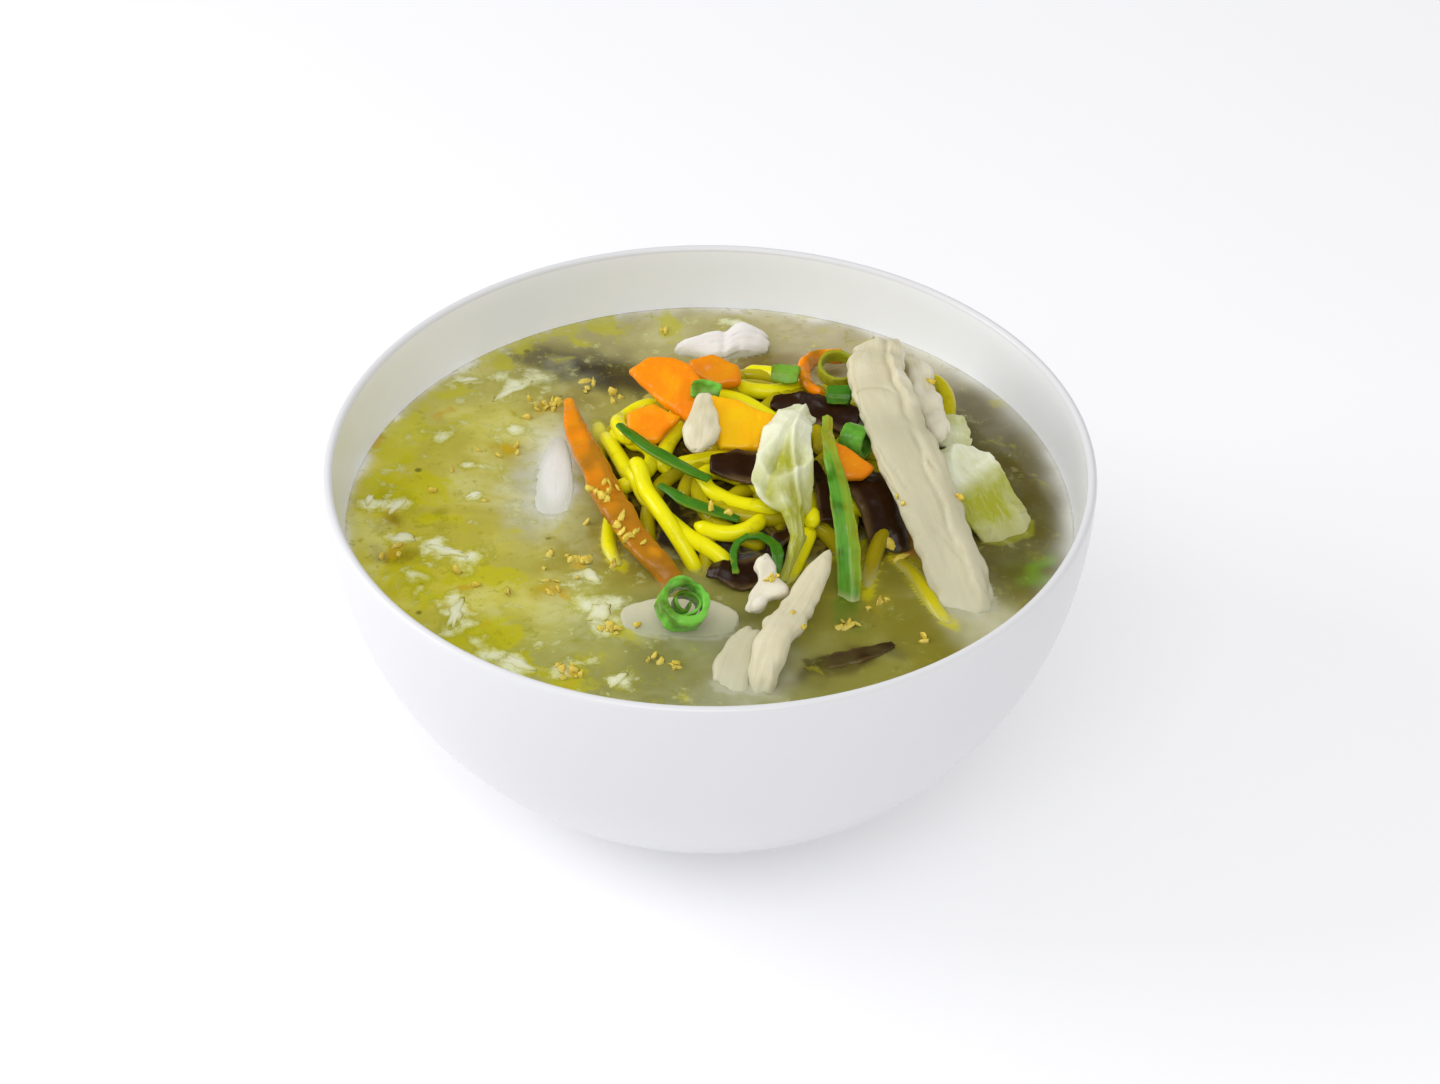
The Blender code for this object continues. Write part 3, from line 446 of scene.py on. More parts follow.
class Pattern(Tree):
    """A Geometry Nodes tree with named inputs that makes a mesh from a guide."""

    def __init__(self, name, **inputs):
        super().__init__(bpy.data.node_groups.new(name, "GeometryNodeTree"))
        interface = self.tree.interface
        interface.new_socket("Geometry", in_out="INPUT", socket_type="NodeSocketGeometry")
        self.ids = {}
        self.values = inputs
        for label, value in inputs.items():
            kind = "NodeSocketInt" if isinstance(value, int) else "NodeSocketFloat"
            self.ids[label] = interface.new_socket(label, in_out="INPUT", socket_type=kind).identifier
        interface.new_socket("Geometry", in_out="OUTPUT", socket_type="NodeSocketGeometry")
        self.given = self.node("NodeGroupInput")

    def end(self, geometry, look):
        """Finish the tree: real geometry, smooth shading and the material."""
        smooth = self.node("GeometryNodeSetShadeSmooth", None, {"Geometry": geometry})
        real = self.node("GeometryNodeRealizeInstances", None, {"Geometry": smooth.outputs[0]})
        dressed = self.node("GeometryNodeSetMaterial", None, {"Geometry": real.outputs[0], "Material": look})
        self.node("NodeGroupOutput", None, {0: dressed.outputs[0]})

    def mesh(self, guide):
        """Run the tree on a guide mesh and give the result as a plain mesh."""
        holder = guide_object(guide)
        maker = holder.modifiers.new("pattern", "NODES")
        maker.node_group = self.tree
        for label, value in self.values.items():
            maker[self.ids[label]] = value
        return result_of(holder)


# Meshes


def add_piece(name, mesh, slot, replaced=(), look=None):
    """Put a finished mesh in the scene as a piece that rides on the body."""
    piece = bpy.data.objects.new(name, mesh)
    bpy.context.scene.collection.objects.link(piece)
    mesh.name = name
    if look:
        mesh.materials.clear()
        mesh.materials.append(look)
    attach(piece, "root")
    if replaced:
        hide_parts(*replaced)
    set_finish(piece, slot)


def guide_object(mesh):
    """Put a mesh in the scene for a moment, to run a modifier on it."""
    holder = bpy.data.objects.new("guide", mesh)
    bpy.context.scene.collection.objects.link(holder)
    return holder


def result_of(holder):
    """Give what a guide object's modifier makes, as a plain mesh, and remove the object."""
    bpy.context.view_layer.update()
    evaluated = holder.evaluated_get(bpy.context.evaluated_depsgraph_get())
    made = bpy.data.meshes.new_from_object(evaluated)
    bpy.data.objects.remove(holder)
    return made


def mesh_of(points, faces, name):
    """Make a smooth mesh from points in millimetres and faces."""
    mesh = bpy.data.meshes.new(name)
    mesh.from_pydata((np.asarray(points) * MM).tolist(), [], [tuple(face) for face in faces])
    mesh.polygons.foreach_set("use_smooth", [True] * len(mesh.polygons))
    mesh.update()
    return mesh


def facing_out(mesh):
    """Turn all faces outwards, after merging doubles."""
    bm = bmesh.new()
    bm.from_mesh(mesh)
    bmesh.ops.remove_doubles(bm, verts=bm.verts, dist=0.001 * MM)
    bmesh.ops.recalc_face_normals(bm, faces=bm.faces)
    bm.to_mesh(mesh)
    bm.free()
    return mesh


def guide_mesh(lines, **numbers):
    """Make a mesh of open lines in millimetres, with numbers on their points."""
    points = np.concatenate(lines)
    edges = []
    start = 0
    for line in lines:
        edges += [(start + k, start + k + 1) for k in range(len(line) - 1)]
        start += len(line)
    mesh = bpy.data.meshes.new("guide")
    mesh.from_pydata((points[:, :3] * MM).tolist(), edges, [])
    for label, values in numbers.items():
        carry(mesh, label, values)
    return mesh


def carry(mesh, label, values):
    """Store a number for each vertex of a mesh."""
    layer = mesh.attributes.new(label, "FLOAT", "POINT")
    layer.data.foreach_set("value", np.ascontiguousarray(values, dtype=np.float32))


def carry_colour(mesh, label, colours):
    """Store a linear colour for each vertex of a mesh."""
    layer = mesh.attributes.new(label, "FLOAT_COLOR", "POINT")
    rows = np.column_stack([colours, np.ones(len(colours))])
    layer.data.foreach_set("color", np.ascontiguousarray(rows, dtype=np.float32).ravel())


def waves(points, size, seed, count=18):
    """Give a smooth random field of about -1 to 1 whose features have about a given size."""
    draw = np.random.default_rng(seed)
    points = np.asarray(points, dtype=float)
    arrows = draw.normal(size=(count, points.shape[1]))
    arrows /= np.linalg.norm(arrows, axis=1)[:, None]
    lengths = size * (1.3 + 1.6 * draw.random(count))
    phases = draw.random(count) * 2 * math.pi
    field = np.sin(points @ (arrows * (2 * math.pi / lengths)[:, None]).T + phases).sum(axis=1)
    return np.clip(field / math.sqrt(count / 2) / 1.8, -1.0, 1.0)


def ease(values, low, high):
    """Rise smoothly from 0 at low to 1 at high."""
    t = np.clip((np.asarray(values) - low) / (high - low), 0.0, 1.0)
    return t * t * (3 - 2 * t)


def ebb(values, low, high):
    """Fall smoothly from 1 at low to 0 at high."""
    return 1.0 - ease(values, low, high)


def hump(values, centre, width):
    """Give 1 at a centre and fall away to both sides of it."""
    return np.exp(-((values - centre) / width) ** 2)


def swirl(places, size, seed):
    """Give a smooth random drift (x, y) at each place."""
    return np.column_stack([waves(places, size, seed), waves(places, size, seed + 1)])


def unit(arrow):
    """Scale an arrow to length 1."""
    return arrow / np.linalg.norm(arrow)


class Skin:
    """A fine, even skin over a CAD node, held as arrays in millimetres."""

    def __init__(self, node, voxel):
        bm = bmesh.new()
        bm.from_mesh(frame["nodes"][node].data)
        bmesh.ops.remove_doubles(bm, verts=bm.verts, dist=0.002 * MM)
        mesh = bpy.data.meshes.new(node)
        bm.to_mesh(mesh)
        bm.free()
        holder = guide_object(mesh)
        even = holder.modifiers.new("even", "REMESH")
        even.mode = "VOXEL"
        even.voxel_size = voxel * MM
        fine = result_of(holder)
        self.node = node
        self.points = np.empty(len(fine.vertices) * 3)
        fine.vertices.foreach_get("co", self.points)
        self.points = self.points.reshape(-1, 3) / MM
        loops = np.empty(len(fine.loops), dtype=np.int64)
        fine.loops.foreach_get("vertex_index", loops)
        self.faces = loops.reshape(-1, 4)
        pairs = np.concatenate([self.faces[:, [k, (k + 1) % 4]] for k in range(4)])
        self.edges = np.unique(np.sort(pairs, axis=1), axis=0)
        ends = np.concatenate([self.edges[:, 0], self.edges[:, 1]])
        self.links = np.bincount(ends, minlength=len(self.points)).clip(1)
        bpy.data.meshes.remove(fine)
        self.smooth(6)
        self.follow()

    def averaged(self, values):
        """Average each vertex's neighbours."""
        first, second = self.edges[:, 0], self.edges[:, 1]
        columns = []
        for column in np.atleast_2d(values.T):
            total = np.bincount(first, column[second], len(self.points))
            total += np.bincount(second, column[first], len(self.points))
            columns.append(total / self.links)
        return np.array(columns).T.reshape(values.shape)

    def smooth(self, times, shares=(0.6, -0.62)):
        """Draw the skin in and let it out again, which smooths it without shrinking it much."""
        for share in times * shares:
            self.points += share * (self.averaged(self.points) - self.points)

    def round_off(self, times):
        """Round the skin's corners, which draws them in."""
        self.smooth(times, (0.5,))

    def normals(self):
        """Give the direction out of the skin at each vertex."""
        corners = self.points[self.faces]
        out = np.cross(corners[:, 2] - corners[:, 0], corners[:, 3] - corners[:, 1])
        total = np.zeros_like(self.points)
        for k in range(4):
            for axis in range(3):
                total[:, axis] += np.bincount(self.faces[:, k], out[:, axis], len(self.points))
        return total / np.linalg.norm(total, axis=1)[:, None].clip(1e-9)

    def follow(self, cells=9):
        """Find the piece's curved middle line and each vertex's place along and across it."""
        flat = self.points[:, :2] - self.points[:, :2].mean(axis=0)
        heading = np.linalg.eigh(flat.T @ flat)[1][:, 1]
        place = flat @ (heading * (1 if heading[1] >= 0 else -1))
        marks = np.linspace(place.min(), place.max(), cells + 1)
        line = []
        for first, second in zip(marks, marks[1:]):
            inside = (place >= first) & (place <= second)
            line.append(self.points[inside].mean(axis=0))
        line = np.array([2 * line[0] - line[1], *line, 2 * line[-1] - line[-2]])
        runs = np.diff(line, axis=0)
        lengths = np.linalg.norm(runs, axis=1)
        starts = np.concatenate([[0.0], np.cumsum(lengths)[:-1]])
        best = np.full(len(self.points), np.inf)
        self.along, self.across, self.over = (np.zeros(len(self.points)) for _ in range(3))
        self.run, self.side = np.zeros_like(self.points), np.zeros_like(self.points)
        for start, run, length, begin in zip(line, runs, lengths, starts):
            away = self.points - start
            share = np.clip(away @ run / length ** 2, 0.0, 1.0)
            off = away - share[:, None] * run
            gap = np.linalg.norm(off, axis=1)
            nearer = gap < best
            side = unit(np.array([run[1], -run[0], 0.0]))
            best[nearer] = gap[nearer]
            self.along[nearer] = (begin + share * length)[nearer]
            self.across[nearer] = (off @ side)[nearer]
            self.over[nearer] = off[nearer, 2]
            self.run[nearer] = run / length
            self.side[nearer] = side
        self.along -= self.along.min()
        self.length = self.along.max()

    def grain(self, run, cross):
        """Give places that are stretched along the piece's grain, for the wave fields."""
        return np.column_stack([self.along / run, self.across / cross, self.over / cross])

    def share(self):
        """Give each vertex's place along the piece, from 0 at one end to 1 at the other."""
        return self.along / self.length

    def half_width(self, percent, least=0.0):
        """Give half the piece's width, without its furthest points."""
        return max(np.percentile(np.abs(self.across), percent), least)

    def slide(self, amount):
        """Move the skin to its side by an amount at each vertex."""
        self.points += self.side * np.asarray(amount)[:, None]

    def push(self, amount):
        """Move the skin outwards by an amount at each vertex."""
        self.points += self.normals() * np.asarray(amount)[:, None]

    def piece(self, slot, look, **numbers):
        """Make the skin a piece that stands for its node."""
        mesh = mesh_of(self.points, self.faces.tolist(), self.node)
        numbers.update(along=self.along, across=self.across, over=self.over)
        for label, values in numbers.items():
            carry(mesh, label, values)
        add_piece(f"{self.node}_finished", mesh, slot, [self.node], look)


def search_tree(pieces):
    """Make one search tree of several pieces."""
    points = []
    faces = []
    for piece in pieces:
        mesh = piece.data
        start = len(points)
        points += [vertex.co for vertex in mesh.vertices]
        faces += [tuple(start + k for k in face.vertices) for face in mesh.polygons]
    return BVHTree.FromPolygons(points, faces)


def pieces_in(*slots):
    """List the scene's pieces that are in these slots."""
    return [piece for piece in bpy.context.scene.objects if piece.get("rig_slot") in slots]


def top_at(tree, x, y):
    """Give the height of what lies at a place, in millimetres, or None."""
    hit = tree.ray_cast(Vector((x * MM, y * MM, 0.2)), Vector((0.0, 0.0, -1.0)))[0]
    return None if hit is None else hit.z / MM


def smooth_route(stations, count):
    """Read a smooth curve through stations at evenly spread places."""
    rows = np.array(stations, dtype=float)
    ends = np.vstack([2 * rows[0] - rows[1], rows, 2 * rows[-1] - rows[-2]])
    spans = np.linalg.norm(np.diff(rows[:, :3], axis=0), axis=1)
    along = np.concatenate([[0.0], np.cumsum(spans)])
    read = []
    for place in np.linspace(0.0, along[-1], count):
        k = min(int(np.searchsorted(along, place, side="right")) - 1, len(rows) - 2)
        t = (place - along[k]) / spans[k]
        a, b, c, d = ends[k:k + 4]
        read.append(0.5 * (2 * b + (c - a) * t + (2 * a - 5 * b + 4 * c - d) * t * t
                           + (3 * b - a - 3 * c + d) * t ** 3))
    return np.array(read)


# Finishes

# Colours inside the patterns
CURD_OUTLINE = (0.30, 0.29, 0.008)
CURD_MIDDLE = (0.80, 0.81, 0.66)
OIL_SHADE = (0.30, 0.28, 0.008)
HERB = (0.08, 0.085, 0.006)
NOODLE_LIGHT = (0.88, 0.84, 0.01)
# Painted highlight on the meat's raised lumps
MEAT_HIGHLIGHT = (0.84, 0.80, 0.67)
MEAT_STAIN = (0.66, 0.60, 0.36)
# Painted shade and soaking in broth on the meat
MEAT_SHADE_AND_SOAK = (0.54, 0.505, 0.335)
MEAT_WHITE = (0.84, 0.81, 0.79)
MEAT_VEIL = (0.58, 0.57, 0.40)
MEAT_HAZE = (0.42, 0.42, 0.26)
SUNK_VEIL = (0.80, 0.81, 0.77)
SUNK_HAZE = (0.64, 0.65, 0.55)
CARROT_GRAIN = (1.0, 0.62, 0.02)
CARROT_BROWN = (0.42, 0.17, 0.006)
RIB_LIGHT = (0.86, 0.86, 0.66)
MUSHROOM_GRAIN = (0.07, 0.045, 0.02)
MUSHROOM_VEIL = (0.15, 0.12, 0.03)
LEAF_GRAIN = (0.10, 0.28, 0.010)
GARLIC_BROWN = (0.46, 0.24, 0.015)
EGG_LIGHT = (0.80, 0.78, 0.55)


def soaked(finish, colour, share=0.8, veil=None, top=2.0):
    """Tint what stands in the broth with its colour, from its surface down."""
    settings = bpy.context.scene.soup_broth
    depth = (finish.height() + 0.8 * finish.noise(260.0, 2.0)).step(SOUP_LEVEL + top, SOUP_LEVEL + 0.1)
    murk = veil or finish.mix(0.35, settings.murk, settings.milk)
    return finish.mix(depth * share, colour, murk)


def dimmed(colour, share):
    """Give a darker shade of a plain colour."""
    return [share * value for value in colour]


def glaze_finish():
    """White glaze with a faint ripple, painted darker outside as painted shade and lighter inside as painted
    light, and a bare ring under the foot.
    """
    settings = bpy.context.scene.soup_bowl
    look = Finish("white glaze", Coat_Weight=0.15, Coat_Roughness=0.12, IOR=1.45)
    bare = look.height().step(1.1, 0.35)
    tone = look.mix(look.noise(9.0, 2.0) * 0.35, settings.glaze, dimmed(settings.glaze, 0.97))
    # Painted light: the inner wall's glaze is lighter than the outer wall's
    tone = look.mix(look.attribute("inside"), tone, settings.inside)
    speck = look.noise(900.0, 2.0).step(0.70, 0.76) * bare
    foot = look.mix(speck, settings.foot, dimmed(settings.foot, 0.6))
    return look.surface(look.mix(bare, tone, foot),
                        0.26 + 0.06 * look.noise(60.0, 2.0) + bare * 0.4,
                        look.noise(38.0, 2.0) + bare * look.noise(1500.0, 2.0) * 0.4, 0.15, 0.2)


def broth_finish():
    """Cloudy broth, tinted from place to place with painted shade and reflection among its own colours, with
    oil, lacy egg and specks of herb.
    """
    settings = bpy.context.scene.soup_broth
    look = Finish("broth", IOR=1.33, Coat_Weight=0.2, Coat_Roughness=0.03)
    cloudy, curd, oily, ochre = (look.attribute(name) for name in ("cloudy", "curd", "oily", "ochre"))
    tint = look.attribute_colour("tint")
    broad = look.noise(60.0, 4.0, 0.55, 0.3)
    ragged = look.noise(170.0, 5.0, 0.62, 0.6, shift=0.3)
    lace = look.noise(190.0, 6.0, 0.70, 0.25, shift=0.1)
    fine = look.noise(560.0, 4.0, 0.65, 0.4)
    level = curd + (lace - 0.5) * 2.4 + (fine - 0.5) * 0.5
    flake = level.step(0.28, 1.05)
    # Each layer's share and colour, laid one over another
    layers = [
        (broad.step(0.60, 0.38) * 0.28, settings.deep),
        (broad.step(0.50, 0.66) * cloudy * 0.30, settings.milk),
        ((oily + cloudy * 0.12 + (ragged - 0.5) * 2.4).step(0.25, 0.85) * 0.75, settings.oil),
        (level.step(0.10, 0.30) * level.step(0.60, 0.35) * cloudy * 0.35, CURD_OUTLINE),
        (flake * 0.85, settings.milk),
        (level.step(0.75, 1.35) * 0.7, CURD_MIDDLE),
        ((lace * 0.7 + fine * 0.3).step(0.555, 0.62) * cloudy * 0.40, settings.milk),
        ((lace * 0.6 + fine * 0.4).step(0.44, 0.38) * cloudy * 0.5, OIL_SHADE),
        ((ochre + (ragged - 0.5) * 2.0 + (fine - 0.5) * 0.8).step(0.40, 0.95) * 0.7, settings.crumb),
        (look.specks(240.0, 0.05) * (0.1 + 0.6 * cloudy), HERB),
    ]
    for share, colour in layers:
        tint = look.mix(share, tint, colour)
    ripple = look.noise(70.0, 2.0) + 0.15 * look.noise(300.0, 3.0) + 0.30 * flake
    return look.surface(tint, 0.12 + 0.22 * flake, ripple, 0.35, 0.5)


def noodle_finish():
    """Bright yellow noodle, slick with broth, with painted shade where it lies deep."""
    settings = bpy.context.scene.soup_noodle
    look = Finish("noodle", Coat_Weight=0.10, Coat_Roughness=0.08, Specular_IOR_Level=0.25,
                  Subsurface_Weight=0.12, Subsurface_Radius=(1.0, 0.9, 0.05), Subsurface_Scale=0.0012)
    cloud = look.noise(150.0, 3.0)
    tone = look.mix(cloud.step(0.35, 0.75) * 0.5, settings.bright, NOODLE_LIGHT)
    tone = look.mix(look.noise(420.0, 3.0).step(0.55, 0.8) * 0.3, tone, settings.shade)
    # Painted shade: darker towards the deep noodle colour where the mesh's deep number is high
    deep = look.attribute("deep") + 0.25 * cloud - 0.12
    tone = look.mix(deep.clamped(), tone, settings.shade)
    return look.surface(soaked(look, tone), 0.16 + 0.12 * look.noise(500.0, 3.0),
                        look.noise(700.0, 3.0) + 0.5 * look.noise(220.0, 2.0), 0.25, 0.25)


def gap_finish():
    """What shows down between the noodles: more noodle, coloured nearly black as painted shade, and glossy.
    """
    settings = bpy.context.scene.soup_noodle
    look = Finish("heap inside", Coat_Weight=0.3, Coat_Roughness=0.2, IOR=1.36)
    strand = look.noise(240.0, 3.0, 0.5, 1.2)
    tone = look.mix(strand.step(0.45, 0.65) * 0.6, settings.core, settings.shade)
    return look.surface(soaked(look, tone), 0.3 + 0.2 * strand, strand, 0.8, 1.0)


def chicken_finish(veil, haze):
    """Cooked white meat: pale fibres along the grain with beige grooves, a painted highlight on its raised
    lumps and painted shade in its hollows, veiled where it sinks.
    """
    settings = bpy.context.scene.soup_topping
    look = Finish("chicken", Coat_Weight=0.15, Coat_Roughness=0.15, Specular_IOR_Level=0.35,
                  Subsurface_Weight=0.2, Subsurface_Radius=(1.0, 0.6, 0.35), Subsurface_Scale=0.0018)
    fibre = look.noise(1.0, 4.0, 0.6, 0.4, look.grain_place(0.11, 1.1))
    thread = look.noise(2.6, 3.0, 0.55, 0.2, look.grain_place(0.10, 1.2))
    relief = look.attribute("relief")
    wet = look.attribute("wet")
    blotch = look.noise(160.0, 4.0, 0.6)
    tone = look.mix(fibre.step(0.62, 0.40) * 0.32, settings.chicken, settings.chicken_shade)
    # Painted highlight on the raised lumps, then painted shade in the grooves and splits
    tone = look.mix((relief + (blotch - 0.5) * 1.5).step(0.2, 1.0) * 0.6, tone, MEAT_HIGHLIGHT)
    tone = look.mix((relief * -1.0).step(0.25, 0.9) * 0.75, tone, settings.chicken_shade)
    tone = look.mix(look.noise(110.0, 2.0).step(0.52, 0.72) * 0.30, tone, MEAT_STAIN)
    # Painted shade and soaking in broth darken the meat; below 0 the number whitens it
    tone = look.mix(wet.clamped(), tone, MEAT_SHADE_AND_SOAK)
    tone = look.mix((wet * -1.0).clamped(), tone, MEAT_WHITE)
    tone = look.mix(look.attribute("fade"), soaked(look, tone, 0.9, veil, 3.5), haze)
    return look.surface(tone, 0.42 + 0.2 * thread, fibre * 0.6 + thread * 0.25 + blotch * 0.7, 0.50, 0.35)


def carrot_finish():
    """Cooked carrot: orange with a paler core and fine cell texture."""
    settings = bpy.context.scene.soup_topping
    look = Finish("carrot", Coat_Weight=0.10, Coat_Roughness=0.10, Specular_IOR_Level=0.25,
                  Subsurface_Weight=0.12, Subsurface_Radius=(1.0, 0.35, 0.08), Subsurface_Scale=0.0015)
    cloud = look.noise(170.0, 3.0)
    pale = look.attribute("tone") + (cloud - 0.5) * 0.9
    colour = look.mix(pale.clamped(), settings.carrot, settings.carrot_pale)
    grain = look.noise(900.0, 3.0)
    colour = look.mix(grain.step(0.55, 0.8) * 0.25, colour, CARROT_GRAIN)
    colour = look.mix(look.attribute("dirt"), colour, CARROT_BROWN)
    return look.surface(soaked(look, colour), 0.18 + 0.14 * grain, grain * 0.5 + cloud, 0.3, 0.3)


def cabbage_finish():
    """Translucent cooked leaf: white ribs and yellow-green blade."""
    settings = bpy.context.scene.soup_topping
    look = Finish("cabbage", Coat_Weight=0.15, Coat_Roughness=0.10, Specular_IOR_Level=0.3,
                  Subsurface_Weight=0.25, Subsurface_Radius=(0.8, 1.0, 0.5), Subsurface_Scale=0.002)
    vein = look.noise(0.9, 4.0, 0.6, 0.8, look.grain_place(0.25, 1.0))
    patch = look.noise(140.0, 3.0, 0.5, 0.5)
    blade = look.attribute("tone") + (vein - 0.5) * 0.7 + (patch - 0.5) * 0.9
    colour = look.mix(blade.clamped(), settings.cabbage, settings.cabbage_green)
    colour = look.mix(vein.step(0.50, 0.68) * 0.22, colour, RIB_LIGHT)
    return look.surface(soaked(look, colour, 0.85, None, 4.5), 0.25 + 0.15 * vein, vein, 0.5, 0.4)


def mushroom_finish():
    """Dark wood-ear: nearly black, slick, with brown thin edges."""
    settings = bpy.context.scene.soup_topping
    look = Finish("wood-ear", Coat_Weight=0.08, Coat_Roughness=0.10, Specular_IOR_Level=0.25)
    cloud = look.noise(230.0, 3.0)
    edge = look.attribute("edge") * 1.2 * cloud
    colour = look.mix(edge.clamped(), settings.mushroom, settings.mushroom_edge)
    colour = look.mix(look.noise(800.0, 3.0).step(0.6, 0.8) * 0.35, colour, MUSHROOM_GRAIN)
    return look.surface(soaked(look, colour, 0.7, MUSHROOM_VEIL), 0.24 + 0.22 * cloud,
                        cloud + 0.4 * look.noise(1000.0, 3.0), 0.35, 0.35)


def scallion_finish():
    """Green leaf with lengthwise veins and pale cut edges."""
    settings = bpy.context.scene.soup_topping
    look = Finish("scallion", Coat_Weight=0.12, Coat_Roughness=0.08, Specular_IOR_Level=0.25,
                  Subsurface_Weight=0.08, Subsurface_Radius=(0.5, 1.0, 0.2), Subsurface_Scale=0.001)
    vein = look.noise(1.6, 2.0, 0.5, 0.1, look.grain_place(0.06, 1.5))
    pale = look.attribute("tone") + (vein - 0.5) * 0.6
    colour = look.mix(pale.clamped(), settings.scallion, settings.scallion_pale)
    fresh = look.attribute("fresh") * look.noise(200.0, 2.0).step(0.3, 0.6)
    colour = look.mix(fresh, colour, settings.fresh)
    colour = look.mix(look.noise(300.0, 3.0).step(0.5, 0.8) * 0.3, colour, LEAF_GRAIN)
    return look.surface(soaked(look, colour), 0.18 + 0.12 * vein, vein, 0.5, 0.25)


def garlic_finish():
    """Crisp garlic: golden with browned corners."""
    settings = bpy.context.scene.soup_topping
    look = Finish("crisp garlic", Coat_Weight=0.3, Coat_Roughness=0.2, IOR=1.45,
                  Subsurface_Weight=0.3, Subsurface_Radius=(1.0, 0.7, 0.15), Subsurface_Scale=0.0012)
    cloud = look.noise(620.0, 3.0)
    colour = look.mix(cloud.step(0.55, 0.75) * 0.7, settings.garlic, GARLIC_BROWN)
    return look.surface(soaked(look, colour, 0.3), 0.32 + 0.2 * cloud, look.noise(1500.0, 3.0), 0.4, 0.2)


def egg_finish():
    """Set egg: soft pale flakes, thinner and yellower at their edges."""
    settings = bpy.context.scene.soup_topping
    look = Finish("set egg", Coat_Weight=0.25, Coat_Roughness=0.15, IOR=1.38,
                  Subsurface_Weight=0.35, Subsurface_Radius=(1.0, 0.9, 0.5), Subsurface_Scale=0.002)
    cloud = look.noise(300.0, 4.0)
    colour = look.mix(cloud.step(0.4, 0.7) * 0.5, settings.egg, EGG_LIGHT)
    thin = look.attribute("edge") * 0.9
    colour = look.mix(thin.clamped(), colour, bpy.context.scene.soup_broth.oil)
    return look.surface(colour, 0.3 + 0.2 * cloud, cloud, 0.5, 0.4)


def floor_finish():
    """Plain pale floor with a faint grain."""
    settings = bpy.context.scene.soup_stage
    look = Finish("pale floor", Emission_Color=(1.0, 1.0, 1.0, 1.0), Emission_Strength=settings.glow)
    grain = look.noise(12.0, 2.0)
    return look.surface(look.mix(grain * 0.2, settings.floor, dimmed(settings.floor, 0.985)),
                        0.6 + 0.1 * grain)


# Bowl


def body_radius(z, radius, depth):
    """Give the radius of a bowl-shaped wall at a height."""
    share = min(max((RIM_HEIGHT - z) / depth, 0.0), 1.0)
    return radius * (1.0 - share ** BODY_POWER) ** (1.0 / BODY_POWER)


def inner_radius(z):
    """Give the radius of the bowl's inner wall at a height."""
    return body_radius(z, RIM_RADIUS - WALL, RIM_HEIGHT - FLOOR_HEIGHT)


def arc(centre, radius, first, last, count):
    """List the points of an arc in the section's plane, its bearings in degrees."""
    points = []
    for k in range(count + 1):
        turn = math.radians(first + (last - first) * k / count)
        points.append((centre[0] + radius * math.cos(turn), centre[1] + radius * math.sin(turn)))
    return points


def bowl_section():
    """List the bowl's section: up the inner wall, over the lip, down outside, and the foot."""
    lip = WALL / 2
    lip_height = RIM_HEIGHT - lip
    points = []
    for k in range(INSIDE_POINTS):
        turn = 0.5 * math.pi * k / (INSIDE_POINTS - 1)
        z = FLOOR_HEIGHT + (lip_height - FLOOR_HEIGHT) * (1.0 - math.cos(turn))
        points.append((inner_radius(z), z))
    points += arc((RIM_RADIUS - lip, lip_height), lip, 162, 18, LIP_POINTS)
    for k in range(OUTSIDE_POINTS):
        turn = 0.5 * math.pi * k / (OUTSIDE_POINTS - 1)
        z = lip_height + (FOOT_HEIGHT + 1.6 - lip_height) * math.sin(turn)
        points.append((body_radius(z, RIM_RADIUS, BODY_DEPTH), z))
    points += arc((FOOT_RADIUS + 1.3, FOOT_HEIGHT - 0.5), 1.0, 100, 180, FOOT_POINTS)
    points += arc((FOOT_RADIUS - 0.9, 0.7), 0.7, 0, -90, FOOT_POINTS)
    points += arc((FOOT_RADIUS - FOOT_WIDTH + 0.7, 0.7), 0.7, -90, -180, FOOT_POINTS)
    points += arc((FOOT_RADIUS - FOOT_WIDTH - 0.9, HOLLOW_HEIGHT - 0.9), 0.9, 0, 90, FOOT_POINTS)
    points.append((0.0, HOLLOW_HEIGHT))
    return points


def turned_pattern(look, steps):
    """Build the tree that turns a section, drawn beside its axis, round that axis."""
    pattern = Pattern("turned bowl", Steps=steps, Hub=HUB * MM)
    given = pattern.given.outputs
    section = pattern.node("GeometryNodeMeshToCurve", None, {"Mesh": given["Geometry"]})
    path = pattern.node("GeometryNodeCurvePrimitiveCircle", None,
                        {"Resolution": given["Steps"], "Radius": given["Hub"]})
    turned = pattern.node("GeometryNodeCurveToMesh", None,
                          {"Curve": path.outputs[0], "Profile Curve": section.outputs[0]})
    merged = pattern.node("GeometryNodeMergeByDistance", None,
                          {"Geometry": turned.outputs[0], "Distance": 0.0005 * MM})
    pattern.end(merged.outputs[0], look)
    return pattern


class SOUP_OT_bowl(bpy.types.Operator):
    """Turn the white bowl with its rounded lip and foot ring"""

    bl_idname = "soup.bowl"
    bl_label = "Bowl"

    def execute(self, context):
        rows = bowl_section()
        section = [(radius - HUB, -z, 0.0) for radius, z in rows]
        # Marks the inner wall, whose glaze is painted lighter as painted light
        inside = [1.0 if k < INSIDE_POINTS else 0.0 for k in range(len(rows))]
        pattern = turned_pattern(glaze_finish(), context.scene.soup_bowl.steps)
        mesh = facing_out(pattern.mesh(guide_mesh([np.array(section)], inside=inside)))
        add_piece("bowl_finished", mesh, "porcelain", ["bowl"])
        return {"FINISHED"}


# Noodles

